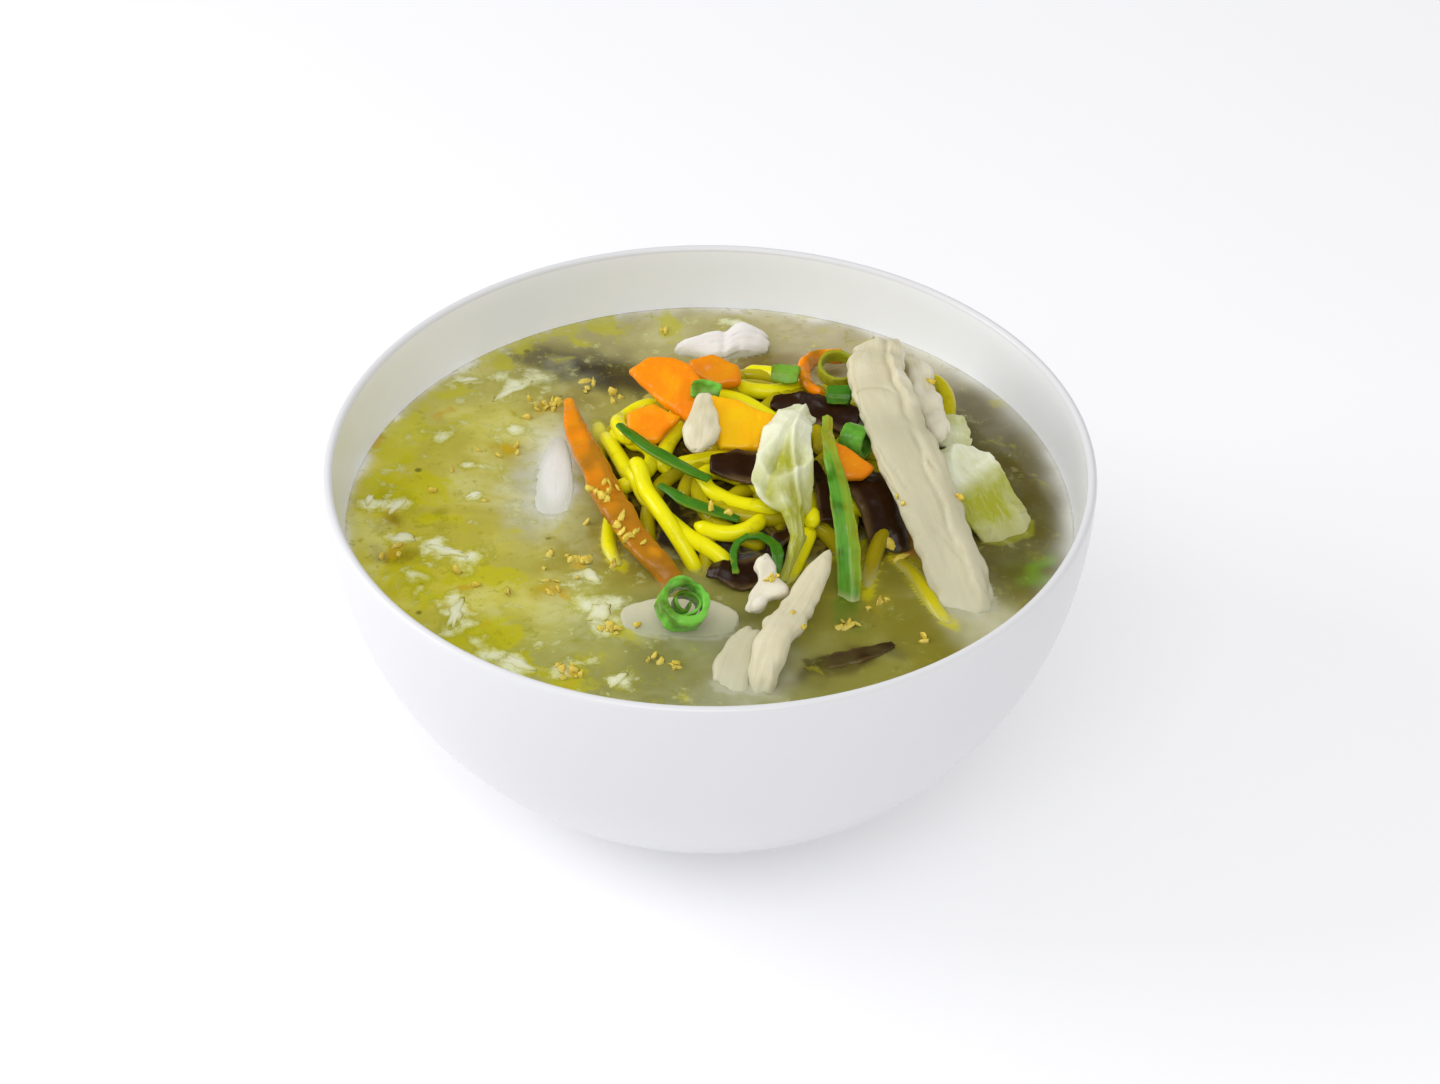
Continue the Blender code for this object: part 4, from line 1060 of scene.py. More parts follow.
# The noodles that show, as places (x, y) and the least height that they run at. They are as in
# the CAD, but for right_front and right_low, which follow other routes here
NOODLES = {
    "front_long": [(-25, 32, 59), (-23, 23, 60), (-19, 10, 60), (-15, 0, 60), (-10, -8, 60),
                   (-4, -14.5, 60), (2, -18.5, 60), (5.5, -21.5, 59.5), (8, -24, 57)],
    "front_short": [(-16, 5, 60), (-13.5, -3, 60), (-10, -10, 60), (-5.5, -16, 60), (-2, -20.5, 58.5)],
    "low_bar": [(-3, -12, 60), (2.5, -14.5, 60), (7.5, -14, 60), (11.5, -10.5, 60)],
    "hook_low": [(15, -9.5, 60), (9, -8.5, 60), (3.5, -6, 60), (-0.5, -2.5, 60), (-1.5, 2, 60),
                 (2.5, 2.5, 60), (8, -1, 60), (13, -3.5, 60)],
    "mid_bar": [(-8, 5, 60), (-3.5, 6, 60), (2, 7, 60), (8, 7.5, 60), (14, 8, 60)],
    "mid_left": [(-6, 20, 60), (-8.5, 14, 60), (-10, 8.5, 60), (-9, 3, 60)],
    "left_loop": [(-11, 29, 60), (-15.5, 29, 60), (-19.5, 25, 60), (-19.5, 18.5, 60), (-16.5, 13, 60)],
    "back_bar": [(7, 46, 60), (12, 44, 60), (17, 40, 60), (22, 36, 60)],
    "right_loop": [(27, 34, 62), (37, 41.5, 64), (47, 42, 65), (51, 37, 65), (51.5, 30.5, 63.5),
                   (48, 24, 61)],
    "sunk_left": [(-20, -2, 60), (-21, -9, 60), (-20, -15, 59.4), (-17, -20.5, 57.5)],
    "right_front": [(42, -1, 63), (38.6, -5, 63), (36, -10, 62.2), (34, -15.5, 60.8), (32.7, -22, 59.2),
                    (31.5, -29, 57.5)],
    "right_low": [(37.5, -13, 57.5), (39.5, -16.5, 59.2), (42, -20.5, 60), (44.2, -26, 60),
                  (46, -31.5, 59.6), (48, -35, 58.8), (50, -38, 57)],
    "behind_slice": [(0, 31, 60), (6, 28, 60), (11, 23.5, 60), (15.5, 18, 60)],
    "behind_chicken": [(21, -12, 60), (19, -17, 60), (16.5, -21, 60), (14, -25, 58)],
    "by_strip": [(20.5, -3, 60), (21, -9, 60), (21, -14.5, 60)],
}


def core_height(x, y):
    """Give the height of the heap's rounded core at a place, or 0 beside it."""
    reach = math.hypot((x - CORE_CENTRE[0]) / CORE_RADII[0], (y - CORE_CENTRE[1]) / CORE_RADII[1])
    if reach >= 1.0:
        return 0.0
    return CORE_BASE + CORE_HEIGHT * (1.0 - reach ** CORE_POWER) ** (1.0 / CORE_POWER)


def core_place(bearing, reach):
    """Give the place (x, y) at a bearing and a share of the core's radii."""
    return (CORE_CENTRE[0] + CORE_RADII[0] * reach * math.cos(bearing),
            CORE_CENTRE[1] + CORE_RADII[1] * reach * math.sin(bearing))


def strand_height(x, y, strands):
    """Give the height of the highest laid noodle at a place, or 0."""
    best = 0.0
    for strand in strands:
        gap = np.hypot(strand[:, 0] - x, strand[:, 1] - y)
        near = gap < NOODLE_RADIUS
        if near.any():
            best = max(best, float((strand[near, 2] + np.sqrt(NOODLE_RADIUS ** 2 - gap[near] ** 2)).max()))
    return best


def loop_routes():
    """Spread loops of noodle over the back and the right flank of the heap."""
    draw = random.Random(SEED)

    def drawn(least, more):
        return least + more * draw.random()

    routes = []
    for k in range(LOOP_COUNT):
        bearing = math.radians(-25.0 + 215.0 * k / (LOOP_COUNT - 1))
        x, y = core_place(bearing, drawn(*LOOP_REACH))
        radius = drawn(*LOOP_RADIUS)
        first = bearing + math.pi * drawn(*LOOP_TURN)
        sweep = math.radians(drawn(*LOOP_SWEEP))
        stretch = drawn(*LOOP_STRETCH)
        route = []
        for j in range(LOOP_POINTS):
            turn = first + sweep * j / (LOOP_POINTS - 1)
            along = radius * stretch * math.cos(turn)
            across = radius * math.sin(turn)
            px = x + along * math.sin(bearing) - across * math.cos(bearing)
            py = y - along * math.cos(bearing) - across * math.sin(bearing)
            route.append((px, py, NOODLE_END_HEIGHT))
        routes.append(route)
    return routes


def draped_route(stations, strands):
    """Lay a noodle's route over the core and the noodles before it, pressed a little in."""
    rows = np.array(stations, dtype=float)
    length = float(np.sum(np.linalg.norm(np.diff(rows[:, :2], axis=0), axis=1)))
    read = smooth_route(stations, max(5, int(length / NOODLE_STEP) + 1))
    needs = []
    for x, y, z in read:
        top = max(core_height(x, y), strand_height(x, y, strands))
        needs.append(max(0.0, top + NOODLE_RADIUS - NOODLE_SINK - z) if top else 0.0)
    count = len(needs)
    for i in range(count):
        read[i, 2] += max(needs[j] - NOODLE_SLOPE * NOODLE_STEP * abs(i - j) for j in range(count))
    return smooth_route(read, 4 * count)


def filler_routes(count, lid):
    """Lay short deeper noodles over the core, kept under whatever lies on the heap."""
    draw = random.Random(SEED + 4)
    routes = []
    while len(routes) < count:
        bearing = draw.uniform(0, 2 * math.pi)
        x, y = core_place(bearing, FILLER_REACH * math.sqrt(draw.random()))
        heading = draw.uniform(0, 2 * math.pi)
        bend = draw.choice((-1, 1)) * draw.uniform(*FILLER_BEND)
        route = []
        for _ in range(draw.randint(*FILLER_STEPS)):
            ground = core_height(x, y)
            if not ground:
                break
            under = lid.ray_cast(Vector((x, y, ground - 4.0)) * MM, Vector((0.0, 0.0, 1.0)))[0]
            z = ground + 0.1
            if under:
                z = min(z, under.z / MM - NOODLE_RADIUS - LID_GAP)
            route.append((x, y, z))
            x += FILLER_STEP * math.cos(heading)
            y += FILLER_STEP * math.sin(heading)
            heading += bend
        if len(route) >= FILLER_FEWEST:
            rows = np.array(route)
            rows[[0, -1], 2] -= FILLER_END_DROP
            heights = rows[:, 2]
            for _ in range(3):
                heights[1:-1] = np.minimum(heights[1:-1], (heights[:-2] + heights[2:] + heights[1:-1]) / 3)
            routes.append(smooth_route(rows, 3 * len(rows)))
    return routes


def strand_pattern(look, settings):
    """Build the tree that makes guide lines into noodles of uneven thickness."""
    pattern = Pattern("noodle strands", Radius=NOODLE_RADIUS * MM, Sides=settings.sides,
                      Step=settings.step * MM, Unevenness=settings.uneven)
    given = pattern.given.outputs
    line = pattern.node("GeometryNodeMeshToCurve", None, {"Mesh": given["Geometry"]})
    even = pattern.node("GeometryNodeResampleCurve", {"mode": "LENGTH"},
                        {"Curve": line.outputs[0], "Length": given["Step"]})
    round_ = pattern.node("GeometryNodeCurvePrimitiveCircle", None,
                          {"Resolution": given["Sides"], "Radius": given["Radius"]})
    thick = pattern.node("GeometryNodeInputNamedAttribute", {"data_type": "FLOAT"}, {"Name": "thick"})
    noise = pattern.node("ShaderNodeTexNoise", None, {"Scale": 130.0, "Detail": 1.0})
    swell = Signal(pattern, noise.outputs[0]) - 0.5
    scale = Signal(pattern, thick.outputs[0]) * (1.0 + swell * Signal(pattern, given["Unevenness"]) * 2.0)
    tube = pattern.node("GeometryNodeCurveToMesh", None,
                        {"Curve": even.outputs[0], "Profile Curve": round_.outputs[0], "Scale": scale,
                         "Fill Caps": True})
    pattern.end(tube.outputs[0], look)
    return pattern


def taper(count):
    """Give a noodle's thickness along its length: rounded down at both ends."""
    place = np.minimum(np.arange(count), np.arange(count)[::-1]) / 2.0
    return np.sqrt(np.clip(0.12 + 0.88 * place, 0.0, 1.0))


# How much painted shade these noodles get at their two ends
NOODLE_SHADE_ENDS = {"right_front": (0.9, 0.9), "right_low": (0.95, 0.3), "right_loop": (0.2, 0.7)}


def noodle_shade_share(k, line, shown):
    """Give how much painted shade a noodle gets along its length: those that fill gaps, and the three at the
    right.
    """
    if k >= shown:
        return np.full(len(line), FILLER_SHADE)
    name = list(NOODLES)[k - LOOP_COUNT] if k >= LOOP_COUNT else ""
    if name in NOODLE_SHADE_ENDS:
        return np.linspace(*NOODLE_SHADE_ENDS[name], len(line))
    return np.zeros(len(line))


def core_mesh():
    """Make the core that closes the gaps between the noodles, a little under the CAD's."""
    bm = bmesh.new()
    bmesh.ops.create_uvsphere(bm, u_segments=96, v_segments=48, radius=1.0)
    for vertex in bm.verts:
        x, y, z = vertex.co
        reach = min(math.hypot(x, y), 1.0)
        lift = (1.0 - reach ** CORE_POWER) ** (1.0 / CORE_POWER)
        high = (CORE_HEIGHT if z > 0 else -CORE_BELOW) * lift - CORE_INSET
        vertex.co = Vector((CORE_CENTRE[0] + x * (CORE_RADII[0] - CORE_INSET),
                            CORE_CENTRE[1] + y * (CORE_RADII[1] - CORE_INSET), CORE_BASE + high)) * MM
    mesh = bpy.data.meshes.new("core")
    bm.to_mesh(mesh)
    bm.free()
    mesh.polygons.foreach_set("use_smooth", [True] * len(mesh.polygons))
    return mesh


class SOUP_OT_noodles(bpy.types.Operator):
    """Lay the noodles over the heap's core"""

    bl_idname = "soup.noodles"
    bl_label = "Noodles"

    def execute(self, context):
        settings = context.scene.soup_noodle
        strands = []
        for stations in loop_routes() + list(NOODLES.values()):
            strands.append(draped_route(stations, strands))
        lid = search_tree([frame["nodes"][name] for names in TOPPINGS.values() for name in names])
        fillers = filler_routes(settings.fillers, lid)
        lines = strands + fillers
        thick = np.concatenate([taper(len(line)) for line in lines])
        deep = np.concatenate([noodle_shade_share(k, line, len(strands)) for k, line in enumerate(lines)])
        pattern = strand_pattern(noodle_finish(), settings)
        mesh = pattern.mesh(guide_mesh(lines, thick=thick, deep=deep))
        add_piece("noodles", facing_out(mesh), "noodle", ["noodle_heap"])
        add_piece("noodle_core", core_mesh(), "noodle", look=gap_finish())
        return {"FINISHED"}


# Toppings

# For each piece pressed down to the surface: the height above which it is pressed, and how much
SUNK_CHICKEN = {"chicken_left": (60.2, 0.94), "chicken_front_left": (60.9, 0.7)}
# How much of the broth's haze lies over a piece's front end, and how far up it reaches
FADED = {"chicken_long_right": (0.55, 8.0), "chicken_front_blade": (0.35, 5.0),
         "chicken_front_fold": (0.45, 6.0)}
# How far from its front end a piece begins to dip into the broth, and how far its end goes under
DIPPED = {"chicken_long_right": (34.0, 3.0), "chicken_front_blade": (12.0, 0.5),
          "chicken_front_fold": (9.0, 0.5), "scallion_leaf_front": (26.0, 3.0),
          "mushroom_front": (60.0, 0.3), "mushroom_right": (10.0, 0.8),
          "carrot_stick_left": (7.0, 0.4), "cabbage_right_large": (13.0, 0.5)}


def dress(kind, shape, look, special=()):
    """Give each piece of a kind its skin, its shape and its finish, or a special one by name."""
    voxel, smoothing, seed, step = SKINS[kind]
    looks = dict(special)
    for k, name in enumerate(TOPPINGS[kind]):
        skin = Skin(name, voxel)
        skin.smooth(smoothing)
        skin.piece(kind, looks.get(name, look), **shape(skin, seed + step * k))


def fringe(skin, seed, reach, cut):
    """Pull a piece's two ends back unevenly, as torn meat ends."""
    rows = np.column_stack([skin.across / 1.6, skin.over / 3.0])
    torn = 0.5 + 0.5 * waves(rows, 1.0, seed)
    ends = ebb(skin.along, 0.0, reach) - ease(skin.along, skin.length - reach, skin.length)
    skin.points += skin.run * (cut * torn * ends)[:, None]


def dip(skin):
    """Sink a piece's front end into the broth, as it lies in the bowl."""
    if skin.node in DIPPED:
        reach, under = DIPPED[skin.node]
        top = skin.points[skin.along < 2.5, 2].max()
        depth = max(top - SOUP_LEVEL + under, 0.0)
        uneven = 1.0 + 0.35 * waves(skin.across[:, None], 4.5, 71)
        skin.points[:, 2] -= depth * uneven * (1.0 - np.clip(skin.along / reach, 0.0, 1.0)) ** 1.3


def bitten(skin, seed, depth, size):
    """Draw a piece's long edges in unevenly."""
    widest = np.abs(skin.across).max()
    edge = ease(np.abs(skin.across), 0.45 * widest, widest)
    places = np.column_stack([skin.along / size, np.sign(skin.across) * 9.0])
    bite = depth * (0.5 + 0.5 * waves(places, 1.0, seed)) * edge
    skin.slide(-np.sign(skin.across) * bite)


def shape_crumb(skin, relief, seed):
    """Make the crumb wide below its middle, narrow at both ends, and lumpy."""
    share = skin.share()
    wide = 0.25 * hump(share, 0.42, 0.2) - 0.35 * ease(share, 0.6, 1.0)
    skin.slide(skin.across * (wide - 0.3 * ebb(share, 0.0, 0.25)))
    return relief + 0.3 * waves(skin.points, 2.2, seed + 4)


def shape_right_shred(skin, relief, seed):
    """Swell the shred beside the long piece into knots."""
    return relief + (0.7 + 0.5 * waves(skin.points, 3.0, seed + 4))


def shape_front_shred(skin, relief, seed):
    """Give the small front shred a spike at its side and a narrower head."""
    share = skin.share()
    spike = 2.5 * hump(share, 0.46, 0.12) * ease(skin.across, 0.0, 2.0)
    skin.slide(spike - 0.35 * ease(share, 0.72, 0.92) * skin.across)
    return relief + 0.35 * waves(skin.points, 2.3, seed + 4)


def shape_back(skin, relief, seed):
    """Narrow the back piece towards its left, and give it a high and a low part."""
    x, y = skin.points[:, 0], skin.points[:, 1]
    share = ease(x, x.min(), x.max())
    narrow = 0.55 * ebb(share, 0.0, 0.45) + 0.20 * ease(share, 0.55, 0.75)
    skin.points[:, 1] -= narrow * (y - y.mean())
    skin.points[:, 1] += 2.2 * ease(share, 0.5, 0.8) - 0.8
    return relief + (0.8 * hump(share, 0.78, 0.14) - 0.5 * hump(share, 0.52, 0.07))


def shape_long(skin, relief, seed):
    """Bulge the long piece to its left, and give it a seam, a ridge and a knotted far end."""
    share = skin.share()
    bulge = 2.9 * ease(share, 0.12, 0.50) * ebb(share, 0.80, 0.97)
    skin.slide(-bulge * ease(-skin.across, 0.0, 4.5))
    seam = skin.across - 1.2 - 0.35 * waves(skin.along[:, None], 9.0, seed + 3)
    seam -= 0.12 * waves(skin.along[:, None], 2.6, seed + 9)
    start = ease(share, 0.05, 0.10)
    relief += 0.65 * (start * ebb(share, 0.50, 0.54) * ease(seam, -0.25, 0.45))
    relief -= 0.25 * (start * ebb(share, 0.50, 0.56)) * hump(seam, -0.5, 0.4)
    ridge = skin.across - 1.9 - 0.5 * waves(skin.along[:, None], 7.0, seed + 4)
    upper = ease(share, 0.56, 0.64) * ease(ridge, -0.3, 0.5)
    relief += upper * (0.7 + 0.5 * waves(skin.points, 3.0, seed + 6))
    relief -= 0.5 * ease(share, 0.5, 0.6) * hump(ridge, -0.6, 0.5)
    return relief + 1.2 * ease(share, 0.86, 0.95) * waves(skin.points, 3.6, seed + 7)


# Chicken pieces whose shape needs more than lumps and fibres
CHICKEN_SHAPES = {"chicken_long_right": shape_long, "chicken_right_shred": shape_right_shred,
                  "chicken_front_shred": shape_front_shred, "chicken_back": shape_back,
                  "chicken_crumb": shape_crumb}


def press_down(skin):
    """Press a sunk piece down to the surface, and give the haze that lies over it."""
    level, share = SUNK_CHICKEN[skin.node]
    skin.points[:, 2] -= share * np.maximum(skin.points[:, 2] - level, 0.0)
    shown = skin.points[:, 2] > SOUP_LEVEL
    if skin.node == "chicken_left":
        away = np.zeros(len(skin.points))
        for places in (skin.across, skin.along):
            low, high = np.percentile(places[shown], (2, 98))
            away += ((2.0 * places - low - high) / (high - low)) ** 2
        return 0.95 * ease(np.sqrt(away), 0.45, 1.0)
    y = skin.points[:, 1]
    front = y[shown].min()
    skin.points[:, 2] -= 0.6 * ebb(y, front, front + 7.0)
    return 0.85 * ebb(y, front + 1.0, front + 8.5)


def shaped_chicken(skin, seed):
    """Give one piece of meat its lumps, fibres, torn ends, grooves and haze."""
    name = skin.node
    size, lump, fibre, wet = CHICKEN[name]
    if name not in (*SUNK_CHICKEN, "chicken_crumb"):
        fringe(skin, seed + 50, 6.0, 3.0 if name == "chicken_long_right" else 1.8)
        bitten(skin, seed + 60, 0.9, 2.6)
    lumps = waves(skin.grain(1.7 * size, size), 1.0, seed)
    threads = waves(skin.grain(9.0, 0.9), 1.0, seed + 1)
    splits = waves(skin.grain(18.0, 4.2), 1.0, seed + 2)
    split = -0.38 * hump(splits, 0.0, 0.07) * ease(waves(skin.points, 9.0, seed + 5), -0.1, 0.5)
    relief = lump * lumps + fibre * threads + split + 0.07 * waves(skin.points, 1.7, seed + 8)
    if name in CHICKEN_SHAPES:
        relief = CHICKEN_SHAPES[name](skin, relief, seed)
    skin.push(relief - 0.10)
    most, reach = FADED.get(name, (0.0, 1.0))
    fade = press_down(skin) if name in SUNK_CHICKEN else most * ebb(skin.along, 0.0, reach)
    # Painted shade and soaking: the long piece is darker towards its front end
    if name == "chicken_long_right":
        wet *= 1.0 - 0.85 * ease(skin.share(), 0.52, 0.74) + 0.25 * waves(skin.points, 8.0, seed + 11)
    dip(skin)
    skin.smooth(5 if name == "chicken_left" else 1)
    return {"relief": np.clip(relief, -1.0, 1.0), "wet": np.broadcast_to(wet, len(relief)), "fade": fade}


class SOUP_OT_chicken(bpy.types.Operator):
    """Shape the pieces of cooked chicken"""

    bl_idname = "soup.chicken"
    bl_label = "Chicken"

    def execute(self, context):
        look = chicken_finish(MEAT_VEIL, MEAT_HAZE)
        dress("chicken", shaped_chicken, look, {"chicken_left": chicken_finish(SUNK_VEIL, SUNK_HAZE)})
        return {"FINISHED"}


def shaped_carrot(skin, seed):
    """Round one piece of carrot, and give how yellow and how brown it is."""
    skin.round_off(14)
    skin.push(0.22 * waves(skin.points, 3.4, seed) + 0.07 * waves(skin.points, 1.1, seed + 20) + 0.15)
    dip(skin)
    tone = CARROT[skin.node] + 0.25 * waves(skin.points, 5.0, seed + 40)
    dirt = np.zeros(len(tone))
    # Browner towards the stick's front end and along one side, and browner all over on the wedge, the slice
    # behind and the curl
    if skin.node == "carrot_stick_left":
        front = 1.1 - 0.6 * ease(skin.points[:, 1], 0.0, 22.0)
        dirt = front * (0.8 + 0.3 * waves(skin.points, 3.0, seed + 60)) + 0.4 * ease(skin.across, 0.0, 1.5)
    elif skin.node in ("carrot_wedge", "carrot_slice_behind"):
        dirt += 0.3
    elif skin.node == "carrot_curl_back":
        dirt += 0.4 + 0.5 * waves(skin.points, 3.0, seed + 60)
    return {"tone": tone, "dirt": dirt.clip(0, 1)}


class SOUP_OT_carrot(bpy.types.Operator):
    """Shape the cut carrot"""

    bl_idname = "soup.carrot"
    bl_label = "Carrot"

    def execute(self, context):
        dress("carrot", shaped_carrot, carrot_finish())
        return {"FINISHED"}


def shaped_cabbage(skin, seed):
    """Fold, crease and frill one leaf, and give how green it is."""
    centre = skin.node == "cabbage_centre"
    share = skin.share()
    if centre:
        skin.slide(-ebb(share, 0.30, 0.37) * 0.45 * (skin.across - 1.0))
        wide = ease(share, 0.35, 0.40) * ebb(share, 0.50, 0.62)
        skin.slide(-wide * ease(-skin.across, 0.0, 4.0))
    crumple = waves(skin.points[:, :2], 6.0, seed)
    folds = 1.0 - 2.2 * np.abs(waves(skin.points[:, :2], 8.5, seed + 3))
    ribs = waves(skin.grain(22.0, 2.4), 1.0, seed + 1)
    rise = 0.35 * crumple + 0.75 * folds + 0.18 * ribs
    if centre:
        crease = skin.across + 4.5 - 11.0 * (share - 0.35)
        second = skin.across - 2.4 + 2.0 * (share - 0.4)
        rise -= 0.9 * hump(crease, 0.0, 0.7) * ease(share, 0.34, 0.42)
        rise += 0.8 * hump(second, 0.0, 0.6)
    frill = ease(np.abs(skin.across) / skin.half_width(97), 0.55, 1.0)
    frill *= waves(skin.grain(4.2, 12.0), 1.0, seed + 5)
    frill *= 0.25 if centre else 0.9
    skin.points[:, 2] += rise + frill - 0.2
    skin.slide(0.4 * frill * np.sign(skin.across))
    skin.push(0.07 * waves(skin.points, 1.6, seed + 2))
    dip(skin)
    if centre:
        green = 0.95 * ebb(share, 0.28, 0.36) + 0.45 * ebb(share, 0.5, 0.8)
        green += 0.5 * ease(crease, -0.5, 0.6) * ebb(second, -1.2, -0.2) * ease(share, 0.3, 0.4)
        green *= 1.0 - 0.7 * ease(share, 0.72, 0.85)
    elif skin.node == "cabbage_right_large":
        green = 0.15 + 0.9 * ease(share, 0.12, 0.34) * ebb(share, 0.45, 0.66)
        green += 0.6 * ebb(share, 0.12, 0.34)
    else:
        green = np.full(len(share), 0.42)
    return {"tone": (green - 0.12 * ribs - 0.20 * folds).clip(0, 1)}


class SOUP_OT_cabbage(bpy.types.Operator):
    """Shape the pale cabbage leaves"""

    bl_idname = "soup.cabbage"
    bl_label = "Cabbage"

    def execute(self, context):
        dress("cabbage", shaped_cabbage, cabbage_finish())
        return {"FINISHED"}


def shaped_mushroom(skin, seed):
    """Crumple one piece of wood-ear, most at its edges, and give where its edges are."""
    edge = ease(np.abs(skin.across) / skin.half_width(95, 1.0), 0.55, 1.0)
    skin.points[:, 2] += 0.5 * waves(skin.points[:, :2], 3.2, seed) * (0.4 + 0.6 * edge)
    skin.push(0.10 * waves(skin.points, 1.5, seed + 1))
    dip(skin)
    return {"edge": edge}


class SOUP_OT_mushroom(bpy.types.Operator):
    """Shape the dark wood-ear"""

    bl_idname = "soup.mushroom"
    bl_label = "Wood-ear"

    def execute(self, context):
        dress("mushroom", shaped_mushroom, mushroom_finish())
        return {"FINISHED"}


def add_curl(skin, axis, seed, first=3.5, last=1.2, thin=0.26, high=1.7, stations=64):
    """Add the crumpled inner layer of a cut ring, as a thin strip that is rolled up inside it."""
    up = unit(np.array(axis))
    side = unit(np.cross(up, (0.0, 1.0, 0.0)))
    ahead = np.cross(up, side)
    turns = np.linspace(0.6, 0.6 + math.radians(520), stations)
    reach = np.linspace(first, last, stations) * (1.0 + 0.16 * waves(turns[:, None], 1.6, seed))
    lift = 0.5 * waves(turns[:, None], 2.2, seed + 1)
    middle = skin.points.mean(axis=0)
    rows = []
    for turn, radius, rise in zip(turns, reach, lift):
        out = side * math.cos(turn) + ahead * math.sin(turn)
        rows += [middle + out * (radius + r) + up * (rise + z)
                 for r, z in ((-thin, -high), (thin, -high), (thin, high), (-thin, high))]
    start = len(skin.points)
    faces = [(0, 1, 2, 3), tuple(4 * stations - k for k in (1, 2, 3, 4))]
    for station in range(stations - 1):
        for k in range(4):
            a, b = 4 * station + k, 4 * station + (k + 1) % 4
            faces.append((a, a + 4, b + 4, b))
    skin.points = np.vstack([skin.points, rows])
    skin.faces = np.vstack([skin.faces, start + np.array(faces)])
    skin.along = np.concatenate([skin.along, np.repeat(turns * reach, 4)])
    skin.across = np.concatenate([skin.across, np.tile((0.0, 0.5, 1.0, 0.5), stations)])
    skin.over = np.concatenate([skin.over, np.tile((-high, -high, high, high), stations)])


def shaped_scallion(skin, seed):
    """Vein one piece of scallion, and give how pale and how bright green it is."""
    name = skin.node
    veins = waves(skin.grain(30.0, 0.9), 1.0, seed)
    crumple = 0.42 if name == "scallion_ring_front" else 0.12
    skin.push(0.06 * veins + crumple * waves(skin.points, 2.6, seed + 1))
    half = skin.half_width(95, 0.8)
    dip(skin)
    if name == "scallion_ring_front":
        add_curl(skin, (0.25, -0.45, 0.85), seed + 2)
    tone, fresh = SCALLION[name]
    pale = tone + 0.30 * ease(np.abs(skin.across) / half, 0.75, 1.0)
    if name == "scallion_leaf_front":
        pale += 0.5 * ease(skin.across, -0.2, 0.3) * ease(skin.along, 4.0, 12.0)
        pale += 0.6 * ease(skin.share(), 0.62, 0.85)
    return {"tone": pale.clip(0, 1), "fresh": np.full(len(pale), fresh)}


class SOUP_OT_scallion(bpy.types.Operator):
    """Shape the scallion leaves, rings and bits"""

    bl_idname = "soup.scallion"
    bl_label = "Scallion"

    def execute(self, context):
        dress("scallion", shaped_scallion, scallion_finish())
        return {"FINISHED"}


# Broth

# What shows through the broth: sunk chicken, and the wall at its edge
CHICKEN_UNDER = (0.62, 0.62, 0.48)
WALL_SEEN = (0.80, 0.79, 0.73)
# How the broth's colour lies over the bowl, as (x, y, reach) and a given colour
# Partly painted light: the dark tints on the right are painted shade and the reflection of the dark heap,
# and the pale tints at the back are partly painted reflected light
BROTH_TINTS_AND_SHADE = [
    ((-69, 8, 9), (0.48, 0.42, 0.015)),
    ((-56, 23, 14), (0.53, 0.49, 0.09)),
    ((-44, 5, 12), (0.38, 0.335, 0.065)),
    ((-53, -22, 12), (0.54, 0.485, 0.045)),
    ((-42, -32, 11), (0.48, 0.44, 0.09)),
    ((-33, -46, 12), (0.42, 0.42, 0.14)),
    ((-15, -48, 11), (0.19, 0.18, 0.045)),
    ((-21, -59, 8), (0.22, 0.21, 0.06)),
    ((-8, -62, 12), (0.20, 0.21, 0.09)),
    ((20, -58, 12), (0.22, 0.22, 0.07)),
    ((28, -42, 10), (0.25, 0.23, 0.035)),
    ((44, -35, 12), (0.17, 0.15, 0.015)),
    ((66, -12, 11), (0.095, 0.08, 0.016)),
    ((69, 12, 12), (0.09, 0.07, 0.015)),
    ((60, 28, 12), (0.085, 0.07, 0.02)),
    ((40, 60, 12), (0.39, 0.345, 0.24)),
    ((22, 67, 12), (0.40, 0.34, 0.19)),
    ((-5, 66, 13), (0.38, 0.34, 0.13)),
    ((-30, 62, 12), (0.39, 0.35, 0.16)),
    ((-52, 46, 12), (0.45, 0.41, 0.09)),
    ((-27, -12, 8), (0.21, 0.165, 0.02)),
    ((-51, 10, 6), (0.38, 0.34, 0.055)),
    ((-27, 45, 9), (0.36, 0.32, 0.08)),
]
